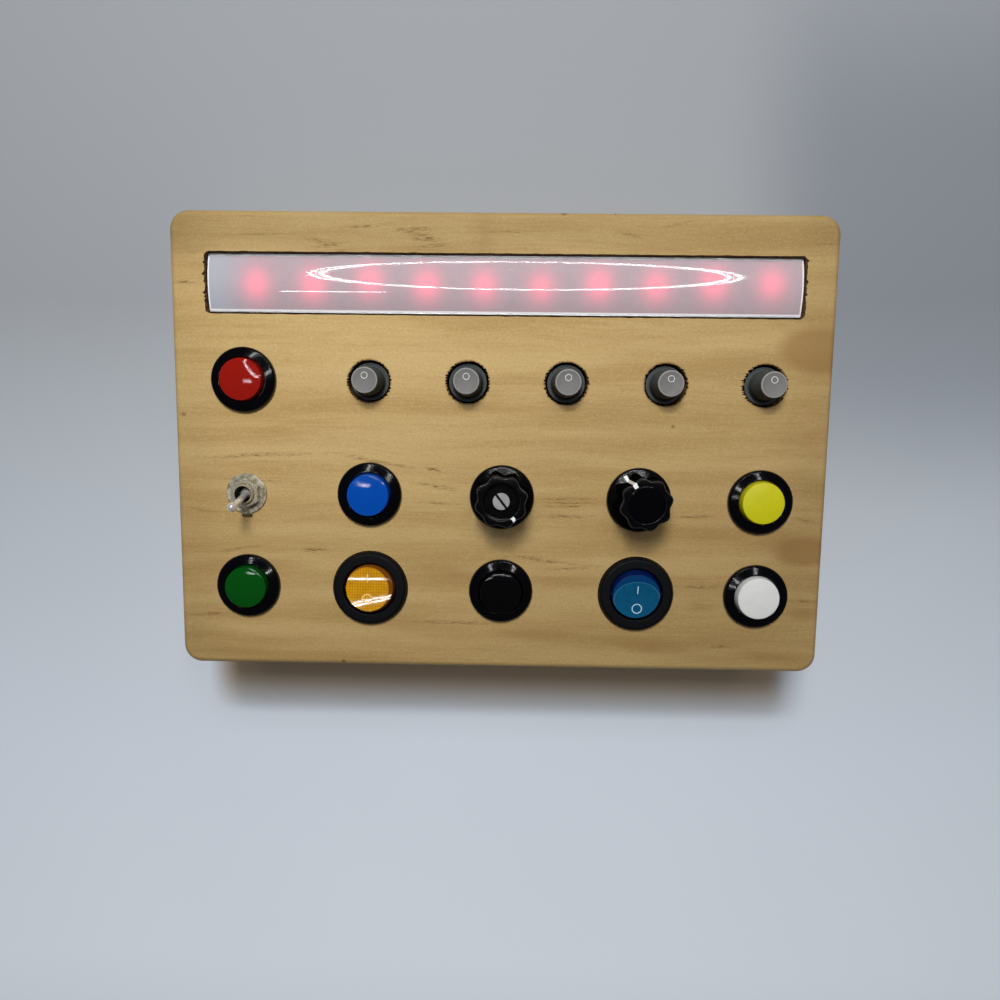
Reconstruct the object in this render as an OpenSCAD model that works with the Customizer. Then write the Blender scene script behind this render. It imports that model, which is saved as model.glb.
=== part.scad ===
// Wooden busy board: a shallow pine box, lying on its back, whose face carries
// a lit window, push buttons, turning knobs, a toggle and two round rockers.
// Millimetres. +Z comes out of the face, +X runs along the board, +Y points at the window.
// The origin is the middle of the flat back.

/* [Case] */
// Length of the board
board_l = 194; // [192:1:230]
// Height of the face
board_h = 135; // [134:1:160]
// Depth of the box from its back to its face
board_d = 42; // [41:1:60]
// Radius of the four upright corners
corner_r = 5.5; // [4:0.5:8]
// Radius along the edge of the face
edge_r = 1.8; // [1:0.2:2.6]
// Thickness of the front panel
panel_t = 6; // [5.4:0.2:6.6]
// Thickness of the rails and stiles
rail_t = 9; // [8.5:0.25:9.5]
// Thickness of the back cover
cover_t = 4; // [3:0.5:4.5]
// Shank diameter of the back screws
screw_d = 3; // [2.5:0.5:3.5]
// Length of the back screws
screw_l = 16; // [12:1:20]
// Head diameter of the back screws
screw_head_d = 6; // [5.6:0.2:6.6]

/* [Places of the controls] */
// First column, in from the left edge
col_1_in = 21.1; // [20:0.1:23]
// Second column, right of the first
col_2_step = 37; // [35:0.5:38]
// Last column, in from the right edge
col_5_in = 19.7; // [19.5:0.1:22]
// Third column, right of the even spacing
col_3_shift = 0.8; // [-1:0.1:1.5]
// Fourth column, right of the even spacing
col_4_shift = 2.8; // [0:0.1:3.5]
// Upper row, down from the top edge
row_1_in = 48.6; // [47.5:0.1:49.5]
// Lower row, up from the bottom edge
row_3_in = 24.2; // [23.5:0.1:26]
// Middle row, above the lower one
row_2_step = 28.5; // [27.5:0.5:30]
// Toggle, below the line of its row
toggle_drop = 0.4; // [0:0.1:0.6]
// Fall of the two lower rows for each millimetre to the right
row_slope = 0.0065; // [0:0.0005:0.01]

/* [Lit window] */
// Channel's left end, in from the left edge
channel_left_in = 10.7; // [10:0.1:14]
// Channel's right end, in from the right edge
channel_right_in = 9.9; // [9.4:0.1:14]
// Width of the channel
channel_w = 17; // [16.6:0.1:17.2]
// Height of the channel
channel_h = 8; // [7.5:0.1:9]
// Wall of the channel
channel_wall = 0.9; // [0.7:0.1:1.2]
// Gap between the channel and its slot
channel_gap = 0.35; // [0.2:0.05:0.5]
// Depth of the channel's lips under the face
lip_depth = 2.2; // [2:0.1:2.6]
// Middle of the window, down from the top edge
window_in = 20.3; // [20:0.1:21]
// Rise of the window cover's arch
arch_rise = 1.1; // [0.9:0.1:1.5]
// Thickness of the window cover
cover_wall = 1.2; // [0.8:0.1:1.4]
// Spacing of the lights
led_pitch = 16.67; // [15:0.01:17]
// Side of a light
led_side = 5; // [3.5:0.5:5]
// Height of a light
led_h = 1.6; // [1:0.1:2]
// Shift of the strip to the right of the window's middle
led_shift = 2.6; // [0:0.1:2.8]
// Width of the light strip
strip_w = 10; // [8:1:12]
// Thickness of the light strip
strip_t = 0.4; // [0.3:0.1:0.6]

/* [Push buttons] */
// Diameter of the bezel's foot
bezel_d = 19.2; // [18.4:0.1:20]
// Height of the bezel
bezel_h = 2.3; // [1.8:0.1:2.6]
// Diameter of the bezel's top
bezel_top_d = 14.8; // [14.4:0.1:16]
// Diameter of the coloured cap
cap_d = 13; // [12.6:0.1:13.2]
// Height of the cap's top above the face
cap_proud = 4.3; // [3.9:0.1:5]
// Radius of the cap's gentle dome
cap_dome_r = 42; // [35:1:80]
// Gap round the cap
cap_gap = 0.2; // [0.1:0.05:0.3]
// Travel of a button
button_travel = 2.5; // [1.5:0.1:3]
// Diameter of the threaded barrel
barrel_d = 16; // [15.8:0.1:16.6]
// Depth of the barrel under the face
barrel_l = 16; // [15.5:0.5:18]
// Diameter across the flats of the fixing nut
button_nut_d = 19; // [18:0.5:20]
// Thickness of the fixing nut
button_nut_t = 3; // [2:0.5:3.5]
// Diameter of the return spring
spring_d = 8; // [7:0.1:8.6]
// Diameter of the spring's wire
spring_wire = 0.7; // [0.5:0.1:0.8]
// Turns of the spring
spring_turns = 5; // [4:1:6]

/* [Grey knobs] */
// Diameter of a grey knob's top
knob_top_d = 7.6; // [7:0.1:8.2]
// Diameter of the knob where it meets its flange
knob_foot_d = 8.8; // [8.4:0.1:9.2]
// Height of the knob's top above the face
knob_proud = 7.4; // [6:0.1:9]
// Diameter of the knob's flange
flange_d = 11.2; // [10.6:0.1:11.6]
// Thickness of the flange
flange_t = 1.4; // [1:0.1:1.8]
// Depth of the flange under the face
flange_depth = 1.6; // [1.2:0.1:2]
// Diameter of the holes that the knobs sit in
knob_hole_d = 12.6; // [12.4:0.1:13.4]
// Diameter of the knobs' shafts
shaft_d = 6; // [5.6:0.1:6.2]

/* [Dials] */
// Diameter of a dial's skirt
dial_d = 19.2; // [18.6:0.1:20]
// Thickness of the skirt
skirt_t = 2.2; // [2:0.1:2.6]
// Height of a dial
dial_h = 13; // [12:0.2:16]
// Gap between a dial and the face
dial_gap = 0.6; // [0.4:0.1:1]
// Diameter over the lobes at the top
lobe_top_d = 14.4; // [13.8:0.1:15]
// Diameter over the lobes at the foot
lobe_foot_d = 17.2; // [16.6:0.1:18]
// Number of lobes
lobe_count = 8; // [6:1:10]
// Radius of the flutes between the lobes
flute_r = 3; // [2.6:0.1:3.2]
// Radius of the ring on which the flutes are cut
flute_ring_r = 9.3; // [9.2:0.05:9.6]
// Diameter of the cap that closes a dial
dial_cap_d = 10.6; // [10:0.1:11]
// Depth of the recess in a dial's top
recess_depth = 2.4; // [2:0.1:3]
// Diameter of the collet screw
collet_d = 4.8; // [4.4:0.1:5.2]
// Direction of the left dial's pointer
left_pointer = -55; // [-140:1:140]
// Direction of the right dial's pointer
right_pointer = 122; // [60:1:240]
// Diameter of a dial's potentiometer
pot_d = 16.5; // [15.5:0.5:17]
// Height of a dial's potentiometer
pot_h = 9; // [8:0.5:9.5]
// Diameter of the potentiometers' threaded bush
bush_d = 7.4; // [7:0.1:7.8]

/* [Toggle] */
// Diameter of the toggle's washer
washer_d = 12; // [11.6:0.1:13]
// Thickness of the washer
washer_t = 0.8; // [0.5:0.1:1]
// Width across the flats of the toggle's nut
toggle_nut_d = 8; // [7.8:0.1:8.6]
// Thickness of the toggle's nut
toggle_nut_t = 1.8; // [1.5:0.1:2]
// Diameter of the threaded neck
neck_d = 6; // [5.8:0.1:6.2]
// Height of the neck above the face
neck_proud = 3.8; // [3.4:0.1:4.2]
// Length of the lever above its pivot
lever_l = 14.2; // [12:0.2:15]
// Diameter of the lever where it leaves the neck
lever_d = 2.5; // [2:0.1:2.6]
// Diameter of the lever's ball tip
tip_d = 2.8; // [2.6:0.1:3.4]
// Tilt of the lever to each side
lever_tilt = 13; // [8:1:13]

/* [Rockers] */
// Diameter of a rocker's bezel
rocker_bezel_d = 22.8; // [22:0.1:24]
// Height of the bezel
rocker_bezel_h = 2; // [1.6:0.1:2.4]
// Diameter of the rocker lens
lens_d = 15.2; // [14.8:0.1:15.4]
// Gap round the lens
lens_gap = 0.25; // [0.2:0.05:0.3]
// Diameter of the housing under the face
housing_d = 20; // [19.6:0.1:20.4]
// Depth of the housing under the face
housing_l = 14; // [12:0.5:15]
// Tilt of a rocker to each side
rocker_tilt = 10; // [6:1:10]

/* [Inside] */
// Length of the posts that carry the knob board
post_l = 14; // [13:0.5:14.5]
// Diameter of the posts
post_d = 5; // [4:0.5:6]
// Thickness of the circuit boards
board_t = 1.6; // [1:0.2:2]
// Width of the knob board
knob_board_w = 16; // [15:1:18]
// Length of a battery
cell_l = 50.5; // [48:0.5:51]
// Diameter of a battery
cell_d = 14.2; // [13.5:0.1:14.5]
// Number of batteries
cell_count = 3; // [2:1:3]
// Wall of the battery holder
holder_wall = 1.2; // [1:0.1:1.6]
// Middle of the battery holder, right of the board's middle
holder_x = 0; // [-3:1:2]
// Gap between the battery holder and the bottom rail
holder_gap = 3.4; // [1:0.2:4]
// Length of the control board
control_l = 44; // [40:1:45]
// Width of the control board
control_w = 34; // [30:1:36]
// Gap between the control board and the right stile
control_gap_x = 2; // [1:0.5:3]
// Gap between the control board and the bottom rail
control_gap_y = 12.5; // [10:0.5:13]
// Length of the spacers under the control board
spacer_l = 4; // [3:0.5:5]
// Diameter of the wire looms
loom_d = 2.4; // [1.8:0.1:3]

/* [Hidden] */
$fn = 64;
fit = 0.05;
loose = 0.15;
hair = 0.01;
z_face = board_d;
z_in = board_d - panel_t;
half_l = board_l / 2;
half_h = board_h / 2;

// Columns and rows, from the middle of the face
col_1 = col_1_in - half_l;
col_2 = col_1 + col_2_step;
col_5 = half_l - col_5_in;
col_3 = col_2 + (col_5 - col_2) / 3 + col_3_shift;
col_4 = col_2 + (col_5 - col_2) * 2 / 3 + col_4_shift;
row_1 = half_h - row_1_in;
row_3 = row_3_in - half_h;
row_2 = row_3 + row_2_step;

// Where each control sits on the face
function fall(x) = -row_slope * x;
red_at = [col_1, row_1];
toggle_at = [col_1, row_2 + fall(col_1) - toggle_drop];
green_at = [col_1, row_3 + fall(col_1)];
blue_at = [col_2, row_2 + fall(col_2)];
amber_at = [col_2, row_3 + fall(col_2)];
left_dial_at = [col_3, row_2 + fall(col_3)];
black_at = [col_3, row_3 + fall(col_3)];
right_dial_at = [col_4, row_2 + fall(col_4)];
blue_rocker_at = [col_4, row_3 + fall(col_4)];
yellow_at = [col_5, row_2 + fall(col_5)];
white_at = [col_5, row_3 + fall(col_5)];
button_spots = [red_at, blue_at, yellow_at, green_at, black_at, white_at];
rocker_spots = [amber_at, blue_rocker_at];
dial_spots = [left_dial_at, right_dial_at];
knob_count = 5;
knob_pitch = (col_5 - col_2) / (knob_count - 1);
function knob_at(i) = [col_2 + i * knob_pitch, row_1];
knob_spots = [for (i = [0 : knob_count - 1]) knob_at(i)];

// Screws that hold the back on, along the middle of the rails
screw_in = rail_t / 2;
screw_reach_x = half_l - 2 * rail_t;
screw_reach_y = half_h - screw_in;
screw_spots = [
  for (x = [-screw_reach_x, 0, screw_reach_x]) for (s = [-1, 1]) [x, s * screw_reach_y],
  for (s = [-1, 1]) [s * (half_l - screw_in), 0]
];
head_sink = 0.3;
tip_gap = 1;
head_h = (screw_head_d - screw_d) / 2;
cross_w = 0.8;
cross_depth = 1;

// Window and channel
channel_top = z_face - lip_depth;
channel_bottom = channel_top - channel_h;
channel_x = channel_left_in - half_l;
channel_l = board_l - channel_left_in - channel_right_in;
window_x = channel_x + channel_l / 2;
window_y = half_h - window_in;
slot_spare = 0.6;
slot_l = channel_l + 2 * channel_gap + slot_spare;
slot_w = channel_w + 2 * channel_gap;
cover_seat = 1;
seat_w = channel_w - 2 * channel_wall;
arch_r = (seat_w * seat_w / 4 + arch_rise * arch_rise) / (2 * arch_rise);
arch_z = channel_top + arch_rise - arch_r;
strip_spare = 3;
led_count = floor((channel_l - strip_spare) / led_pitch);
strip_l = led_count * led_pitch;
led_seat = channel_bottom + channel_wall;
led_x = window_x + led_shift;
lead_hole_in = 3;
lead_hole_x = window_x + channel_l / 2 - lead_hole_in;

// Push button
cap_r = cap_d / 2;
bore_r = cap_r + cap_gap;
barrel_wall = 0.7;
wide_bore_r = barrel_d / 2 - barrel_wall;
collar_r = wide_bore_r - cap_gap;
collar_t = 1.2;
stop_depth = 2.2;
stop_gap = 0.3;
stop_z = z_face - stop_depth;
collar_top = stop_z - stop_gap;
cap_top = z_face + cap_proud;
cap_crown = 1.6;
cap_wall = 1;
barrel_floor = 1.6;
barrel_bottom = z_face - barrel_l;
floor_z = barrel_bottom + barrel_floor;
ceiling_z = cap_top - cap_crown;
stem_d = 4.4;
stem_play = 1.5;
stem_root = 0.3;
stem_l = ceiling_z - floor_z - button_travel - stem_play;
button_tab = [0.6, 2.8, 5];
button_tab_x = 3.6;

// Grey knobs, their shafts and their potentiometers
knob_board_z = z_in - post_l;
pot_body = [9.6, 11, 6.4];
small_bush_wall = 0.7;
small_bush_d = shaft_d + 2 * small_bush_wall;
small_bush_h = 4.6;
flange_z = z_face - flange_depth - flange_t;
knob_hub_l = 1;
knob_hub_z = flange_z - knob_hub_l;
knob_shaft_proud = 4;
knob_shaft_top = z_face + knob_shaft_proud;
shaft_play = 0.2;
pot_play = 1;
knob_board_end = 6.5;
knob_board_l = col_5 - col_2 + 2 * knob_board_end;
post_spots = [for (i = [0 : knob_count - 2]) knob_at(i + 0.5)];
post_screw_d = 2.2;
post_screw_head_h = 1.3;
post_screw_l = board_t + spacer_l - 0.4;

// Dials
dial_z = z_face + dial_gap;
dial_top = dial_z + dial_h;
recess_z = dial_top - recess_depth;
bush_proud = 3.4;
dial_nut_d = 10;
dial_nut_t = 2;
pocket_play = 0.3;
nut_pocket_d = dial_nut_d / cos(30) + 2 * pocket_play;
dial_web = 1.5;
dial_shaft_top = recess_z - dial_web;
collet_head_t = 1.3;
collet_shank_r = 1;
collet_grip = 3.5;
collet_slot = 0.7;
left_slot = -52;
right_slot = 30;
pot_tab = [2, 6, 0.8];
pot_tabs = [-5, 0, 5];
pot_floor = 1;

// Toggle
toggle_pivot_z = z_face - 0.4;
neck_top = z_face + neck_proud;
toggle_case = [8, 13, 9.4];
ball_r = 2;
pivot_pin_r = 0.6;
pivot_pin_l = 5.2;
throat_r = 2.5;
throat_z = toggle_pivot_z + 0.6;
toggle_well = 4;
tip_neck_r = 1.08;
washer_tab = [3, 3];
washer_tab_proud = 1;
toggle_tab = [2, 0.8, 4.5];
toggle_tabs = [-4.6, 0, 4.6];
tail_d = 1.8;
tail_l = 3.4;

// Rockers
rocker_pivot_z = z_face + 0.2;
lens_r = lens_d / 2;
pocket_r = lens_r + lens_gap;
lens_edge_h = 3.2;
lens_mid_h = 1.9;
lens_skirt = 4.4;
pocket_depth = 8.6;
trunnion_r = 1;
trunnion_l = 0.9;
peg_d = 3;
peg_l = 7.4;
rocker_bezel_slope = 1.3;
rocker_bezel_top_d = rocker_bezel_d - 2 * rocker_bezel_slope;
rocker_tab = [4.8, 0.8, 6.5];
rocker_tabs = [-6, 0, 6];

// Battery holder and boards
cell_gap = 0.3;
cell_tip_l = 1;
cell_tip_r = 2.7;
holder_l = cell_l + 2 * cell_gap + 2 * holder_wall;
holder_w = cell_count * (cell_d + cell_gap) + cell_gap + 2 * holder_wall;
holder_h = cell_d + holder_wall;
holder_y = rail_t + holder_gap + holder_w / 2 - half_h;
control_x = half_l - rail_t - control_gap_x - control_l / 2;
control_y = rail_t + control_gap_y + control_w / 2 - half_h;
control_z = cover_t + spacer_l;
control_top = control_z + board_t;
control_hole_in = 4;
chip = [12, 8, 2];
plug_w = 6;
plug_h = 5.4;
loom_z = control_top + plug_h / 2;
loom_bend = 4;
plug_y = control_y + control_w / 2;
knob_loom_in = 5;
knob_loom_x = knob_at(3)[0] + 1.5 * knob_loom_in;
knob_loom_y = row_1 - knob_loom_in;

// Spacers under the control board stand on the back cover
control_holes = [
  for (s = [-1, 1]) for (y = [control_y - control_w / 2 + control_hole_in, plug_y - plug_w - control_hole_in])
    [control_x + s * (control_l / 2 - control_hole_in), y]
];

// Shapes that repeat

module at(spot, z = 0) translate([spot[0], spot[1], z]) children();

// A bar between two opposite corners
module bar(low, high) translate(low) cube(high - low);

// A quarter of a disc with its centre at the origin, filling +X and +Y
module quarter_disc(r, t) rotate_extrude(angle = 90) square([r, t]);

// Plate with upright round corners, built of parts that meet at flat faces
module round_plate(l, h, t, r) {
  bar([-l / 2 + r, -h / 2, 0], [l / 2 - r, h / 2, t]);
  for (s = [-1, 1]) translate([s * (l - r) / 2, 0, t / 2]) cube([r, h - 2 * r, t], center = true);
  for (x = [-1, 1]) for (y = [-1, 1])
    translate([x * (l / 2 - r), y * (h / 2 - r), 0])
      rotate([0, 0, x > 0 ? (y > 0 ? 0 : -90) : (y > 0 ? 90 : 180)]) quarter_disc(r, t);
}

// Section of the panel's rim: w wide, t thick, with its outer top corner rounded
module rim_section(w, t, e) {
  square([w - e, t]);
  translate([w - e, 0]) square([e, t - e]);
  translate([w - e, t - e]) intersection() {
    circle(r = e);
    square(e);
  }
}

// Wood screw: countersunk head down at z = 0, shank up
module wood_screw(d, l, head_d, head_t) {
  difference() {
    union() {
      cylinder(h = head_t, r1 = head_d / 2, r2 = d / 2);
      translate([0, 0, head_t]) cylinder(h = l - head_t, r = d / 2);
    }
    for (a = [0, 90]) rotate([0, 0, a]) cube([head_d / 2, cross_w, 2 * cross_depth], center = true);
  }
}

// Hexagonal nut by its width across the flats
module hex_nut(flats, t, hole_d) {
  difference() {
    cylinder(h = t, r = flats / 2 / cos(30), $fn = 6);
    translate([0, 0, -1]) cylinder(h = t + 2, r = hole_d / 2);
  }
}

// Terminal that hangs from a point
module tab(top, size) translate(top - [size[0] / 2, size[1] / 2, size[2]]) cube(size);

// Case

module front_panel() {
  rim = corner_r;
  color("burlywood") difference() {
    translate([0, 0, z_in]) union() {
      bar([-half_l + rim, -half_h + rim, 0], [half_l - rim, half_h - rim, panel_t]);
      for (s = [0, 180]) rotate([0, 0, s]) {
        translate([-half_l + rim, half_h - rim, 0]) rotate([90, 0, 90])
          linear_extrude(board_l - 2 * rim) rim_section(rim, panel_t, edge_r);
        translate([half_l - rim, half_h - rim, 0]) rotate([90, 0, 0])
          linear_extrude(board_h - 2 * rim) rim_section(rim, panel_t, edge_r);
        translate([half_l - rim, half_h - rim, 0])
          rotate_extrude(angle = 90) rim_section(rim, panel_t, edge_r);
        translate([-half_l + rim, half_h - rim, 0]) rotate([0, 0, 90])
          rotate_extrude(angle = 90) rim_section(rim, panel_t, edge_r);
      }
    }
    translate([window_x, window_y, z_in]) cube([slot_l, slot_w, 3 * panel_t], center = true);
    for (p = button_spots) at(p, z_in - 1) cylinder(h = panel_t + 2, r = barrel_d / 2 + loose);
    for (p = rocker_spots) at(p, z_in - 1) cylinder(h = panel_t + 2, r = housing_d / 2 + loose);
    for (p = knob_spots) at(p, z_in - 1) cylinder(h = panel_t + 2, r = knob_hole_d / 2);
    for (p = dial_spots) at(p, z_in - 1) cylinder(h = panel_t + 2, r = bush_d / 2 + loose);
    at(toggle_at, z_in - 1) cylinder(h = panel_t + 2, r = neck_d / 2 + loose);
  }
}

// The upper long rail; the lower one is its half turn
module long_rail() {
  top = z_in;
  difference() {
    union() {
      bar([-half_l + corner_r, half_h - rail_t, cover_t], [half_l - corner_r, half_h, top]);
      for (s = [-1, 1]) {
        mid = s * (half_l - corner_r / 2);
        bar([mid - corner_r / 2, half_h - rail_t, cover_t], [mid + corner_r / 2, half_h - corner_r, top]);
      }
      translate([half_l - corner_r, half_h - corner_r, cover_t]) quarter_disc(corner_r, top - cover_t);
      translate([-half_l + corner_r, half_h - corner_r, cover_t]) rotate([0, 0, 90])
        quarter_disc(corner_r, top - cover_t);
    }
    for (p = screw_spots) at(p) cylinder(h = head_sink + screw_l + tip_gap, r = screw_d / 2 + fit);
  }
}

module stile() {
  difference() {
    bar([half_l - rail_t, -half_h + rail_t, cover_t], [half_l, half_h - rail_t, z_in]);
    at([half_l - screw_in, 0]) cylinder(h = head_sink + screw_l + tip_gap, r = screw_d / 2 + fit);
  }
}

module top_rail() color("burlywood") long_rail();
module bottom_rail() color("burlywood") rotate([0, 0, 180]) long_rail();
module right_stile() color("burlywood") stile();
module left_stile() color("burlywood") rotate([0, 0, 180]) stile();

module back_cover() {
  color("burlywood") difference() {
    round_plate(board_l, board_h, cover_t, corner_r);
    for (p = screw_spots) at(p) {
      translate([0, 0, -1]) cylinder(h = cover_t + 2, r = screw_d / 2 + loose);
      translate([0, 0, -hair]) cylinder(h = head_sink + hair, r = screw_head_d / 2 + loose);
      translate([0, 0, head_sink - hair])
        cylinder(h = head_h, r1 = screw_head_d / 2 + loose, r2 = screw_d / 2 + loose);
    }
  }
}

module back_screws() {
  color("silver") for (p = screw_spots) at(p, head_sink) wood_screw(screw_d, screw_l, screw_head_d, head_h);
}

// Lit window

module led_channel() {
  color("gainsboro") difference() {
    translate([channel_x, window_y - channel_w / 2, channel_bottom]) cube([channel_l, channel_w, channel_h]);
    translate([channel_x - 1, window_y - seat_w / 2, led_seat])
      cube([channel_l + 2, seat_w, channel_h]);
    at([lead_hole_x, window_y], channel_bottom - 1) cylinder(h = channel_wall + 2, r = loom_d / 2 + loose);
  }
}

module led_cover() {
  color("lavender") difference() {
    translate([channel_x, window_y, arch_z]) rotate([0, 90, 0])
      cylinder(h = channel_l, r = arch_r, $fn = 128);
    translate([channel_x - 1, window_y, arch_z]) rotate([0, 90, 0])
      cylinder(h = channel_l + 2, r = arch_r - cover_wall, $fn = 128);
    for (s = [-1, 1]) translate([window_x, window_y + s * (seat_w / 2 - fit + arch_r), arch_z])
      cube([channel_l + 2, 2 * arch_r, 3 * arch_r], center = true);
    translate([window_x, window_y, channel_top - cover_seat - 1.5 * arch_r])
      cube([channel_l + 2, 4 * arch_r, 3 * arch_r], center = true);
  }
}

module led_strip() {
  color("white") translate([led_x - strip_l / 2, window_y - strip_w / 2, led_seat])
    cube([strip_l, strip_w, strip_t]);
}

module led_chips() {
  color("pink") for (i = [0 : led_count - 1])
    translate([led_x + (i - (led_count - 1) / 2) * led_pitch, window_y, led_seat + strip_t + led_h / 2])
      cube([led_side, led_side, led_h], center = true);
}

// Push buttons

module button_cap() {
  difference() {
    union() {
      intersection() {
        translate([0, 0, collar_top - collar_t]) cylinder(h = cap_top - collar_top + collar_t, r = cap_r);
        translate([0, 0, cap_top - cap_dome_r]) sphere(r = cap_dome_r, $fn = 96);
      }
      translate([0, 0, collar_top - collar_t]) cylinder(h = collar_t, r = collar_r);
    }
    translate([0, 0, collar_top - collar_t - 1])
      cylinder(h = ceiling_z - collar_top + collar_t + 1, r = cap_r - cap_wall);
  }
  translate([0, 0, ceiling_z - stem_l]) cylinder(h = stem_l + stem_root, r = stem_d / 2);
}

module red_button_cap() color("firebrick") at(red_at) button_cap();
module blue_button_cap() color("royalblue") at(blue_at) button_cap();
module yellow_button_cap() color("gold") at(yellow_at) button_cap();
module green_button_cap() color("forestgreen") at(green_at) button_cap();
module black_button_cap() color("dimgray") at(black_at) button_cap();
module white_button_cap() color("white") at(white_at) button_cap();

module button_housing() {
  difference() {
    union() {
      translate([0, 0, z_face]) cylinder(h = bezel_h, r1 = bezel_d / 2, r2 = bezel_top_d / 2);
      translate([0, 0, barrel_bottom]) cylinder(h = barrel_l, r = barrel_d / 2);
    }
    translate([0, 0, stop_z - 1]) cylinder(h = stop_depth + bezel_h + 2, r = bore_r);
    translate([0, 0, floor_z]) cylinder(h = stop_z - floor_z, r = wide_bore_r);
  }
}

module button_housings() color("black") for (p = button_spots) at(p) button_housing();

module button_nuts() {
  color("darkslategray") for (p = button_spots)
    at(p, z_in - button_nut_t) rotate([0, 0, 30]) hex_nut(button_nut_d, button_nut_t, barrel_d + 2 * fit);
}

module button_terminals() {
  color("silver") for (p = button_spots) at(p) for (s = [-1, 1])
    tab([s * button_tab_x, 0, barrel_bottom], button_tab);
}

// Coil spring swept along a helix, from low to high
module coil(d, wire, turns, low, high) {
  sides = 6;
  steps = 12;
  rings = turns * steps;
  run = high - low - wire;
  mid_r = (d - wire) / 2;
  pts = [
    for (i = [0 : rings]) for (j = [0 : sides - 1])
      let (a = i * 360 / steps, b = j * 360 / sides, r = mid_r + wire / 2 * cos(b))
        [r * cos(a), r * sin(a), low + wire / 2 + run * i / rings + wire / 2 * sin(b)]
  ];
  skin = [
    for (i = [0 : rings - 1]) for (j = [0 : sides - 1])
      let (k = (j + 1) % sides, a = i * sides, b = a + sides) [a + j, a + k, b + k, b + j]
  ];
  ends = [[for (j = [sides - 1 : -1 : 0]) j], [for (j = [0 : sides - 1]) rings * sides + j]];
  polyhedron(points = pts, faces = concat(skin, ends));
}

module button_springs() {
  color("silver") for (p = button_spots)
    at(p) coil(spring_d, spring_wire, spring_turns, floor_z + fit, ceiling_z - fit);
}

// Grey knobs

module grey_knob() {
  difference() {
    union() {
      translate([0, 0, knob_hub_z]) cylinder(h = knob_hub_l, r = knob_foot_d / 2);
      translate([0, 0, flange_z]) cylinder(h = flange_t, r = flange_d / 2);
      translate([0, 0, flange_z + flange_t])
        cylinder(h = flange_depth + knob_proud, r1 = knob_foot_d / 2, r2 = knob_top_d / 2);
    }
    translate([0, 0, knob_hub_z - 1])
      cylinder(h = knob_shaft_top - knob_hub_z + shaft_play + 1, r = shaft_d / 2 + fit);
  }
}

module knob_shaft() {
  low = knob_board_z + pot_play;
  translate([0, 0, low]) cylinder(h = knob_shaft_top - low, r = shaft_d / 2);
}

module grey_knob_1() color("gray") at(knob_spots[0]) grey_knob();
module grey_knob_2() color("gray") at(knob_spots[1]) grey_knob();
module grey_knob_3() color("gray") at(knob_spots[2]) grey_knob();
module grey_knob_4() color("gray") at(knob_spots[3]) grey_knob();
module grey_knob_5() color("gray") at(knob_spots[4]) grey_knob();
module knob_shaft_1() color("silver") at(knob_spots[0]) knob_shaft();
module knob_shaft_2() color("silver") at(knob_spots[1]) knob_shaft();
module knob_shaft_3() color("silver") at(knob_spots[2]) knob_shaft();
module knob_shaft_4() color("silver") at(knob_spots[3]) knob_shaft();
module knob_shaft_5() color("silver") at(knob_spots[4]) knob_shaft();

module knob_pots() {
  color("steelblue") for (p = knob_spots) at(p, knob_board_z) difference() {
    union() {
      translate([-pot_body[0] / 2, -pot_body[1] / 2, 0]) cube(pot_body);
      translate([0, 0, pot_body[2]]) cylinder(h = small_bush_h, r = small_bush_d / 2);
    }
    translate([0, 0, pot_play - fit]) cylinder(h = pot_body[2] + small_bush_h, r = shaft_d / 2 + fit);
  }
}

module knob_board() {
  color("darkgreen") difference() {
    translate([col_2 - knob_board_end, row_1 - knob_board_w / 2, knob_board_z - board_t])
      cube([knob_board_l, knob_board_w, board_t]);
    for (p = post_spots) at(p, knob_board_z - board_t) screw_hole(board_t);
  }
}

module screw_hole(l) translate([0, 0, -1]) cylinder(h = l + 2, r = post_screw_d / 2 + fit);

module post(l) {
  difference() {
    cylinder(h = l, r = post_d / 2);
    screw_hole(l);
  }
}

module board_posts() {
  color("ivory") {
    for (p = post_spots) at(p, knob_board_z) post(post_l);
    for (p = control_holes) at(p, cover_t) post(spacer_l);
  }
}

module board_screws() {
  color("silver") {
    for (p = post_spots) at(p, knob_board_z - board_t - post_screw_head_h) pan_screw();
    for (p = control_holes) at(p, control_top + post_screw_head_h) mirror([0, 0, 1]) pan_screw();
  }
}

// Pan-head screw: head at z = 0, shank up
module pan_screw() {
  cylinder(h = post_screw_head_h, r = post_screw_d);
  translate([0, 0, post_screw_head_h]) cylinder(h = post_screw_l, r = post_screw_d / 2);
}

// Toggle

module toggle_lever() {
  color("silver") at(toggle_at, toggle_pivot_z) rotate([lever_tilt, 0, 0]) {
    sphere(r = ball_r);
    rotate([0, 90, 0]) cylinder(h = pivot_pin_l, r = pivot_pin_r, center = true);
    translate([0, 0, -tail_l]) cylinder(h = tail_l, r = tail_d / 2);
    cylinder(h = lever_l - tip_d / 2, r1 = lever_d / 2, r2 = tip_neck_r);
    translate([0, 0, lever_l - tip_d / 2]) sphere(r = tip_d / 2);
  }
}

module toggle_body() {
  case_z = z_in - toggle_case[2];
  color("darkred") at(toggle_at) difference() {
    union() {
      translate([-toggle_case[0] / 2, -toggle_case[1] / 2, case_z]) cube(toggle_case);
      translate([0, 0, z_in]) cylinder(h = neck_top - z_in, r = neck_d / 2);
    }
    translate([0, 0, z_in - toggle_well]) cylinder(h = throat_z - z_in + toggle_well, r = ball_r + fit);
    translate([0, 0, throat_z]) cylinder(h = neck_top - throat_z + hair, r1 = ball_r + fit, r2 = throat_r);
    translate([0, 0, toggle_pivot_z]) rotate([0, 90, 0])
      cylinder(h = pivot_pin_l + 4 * fit, r = pivot_pin_r + fit, center = true);
  }
}

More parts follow.
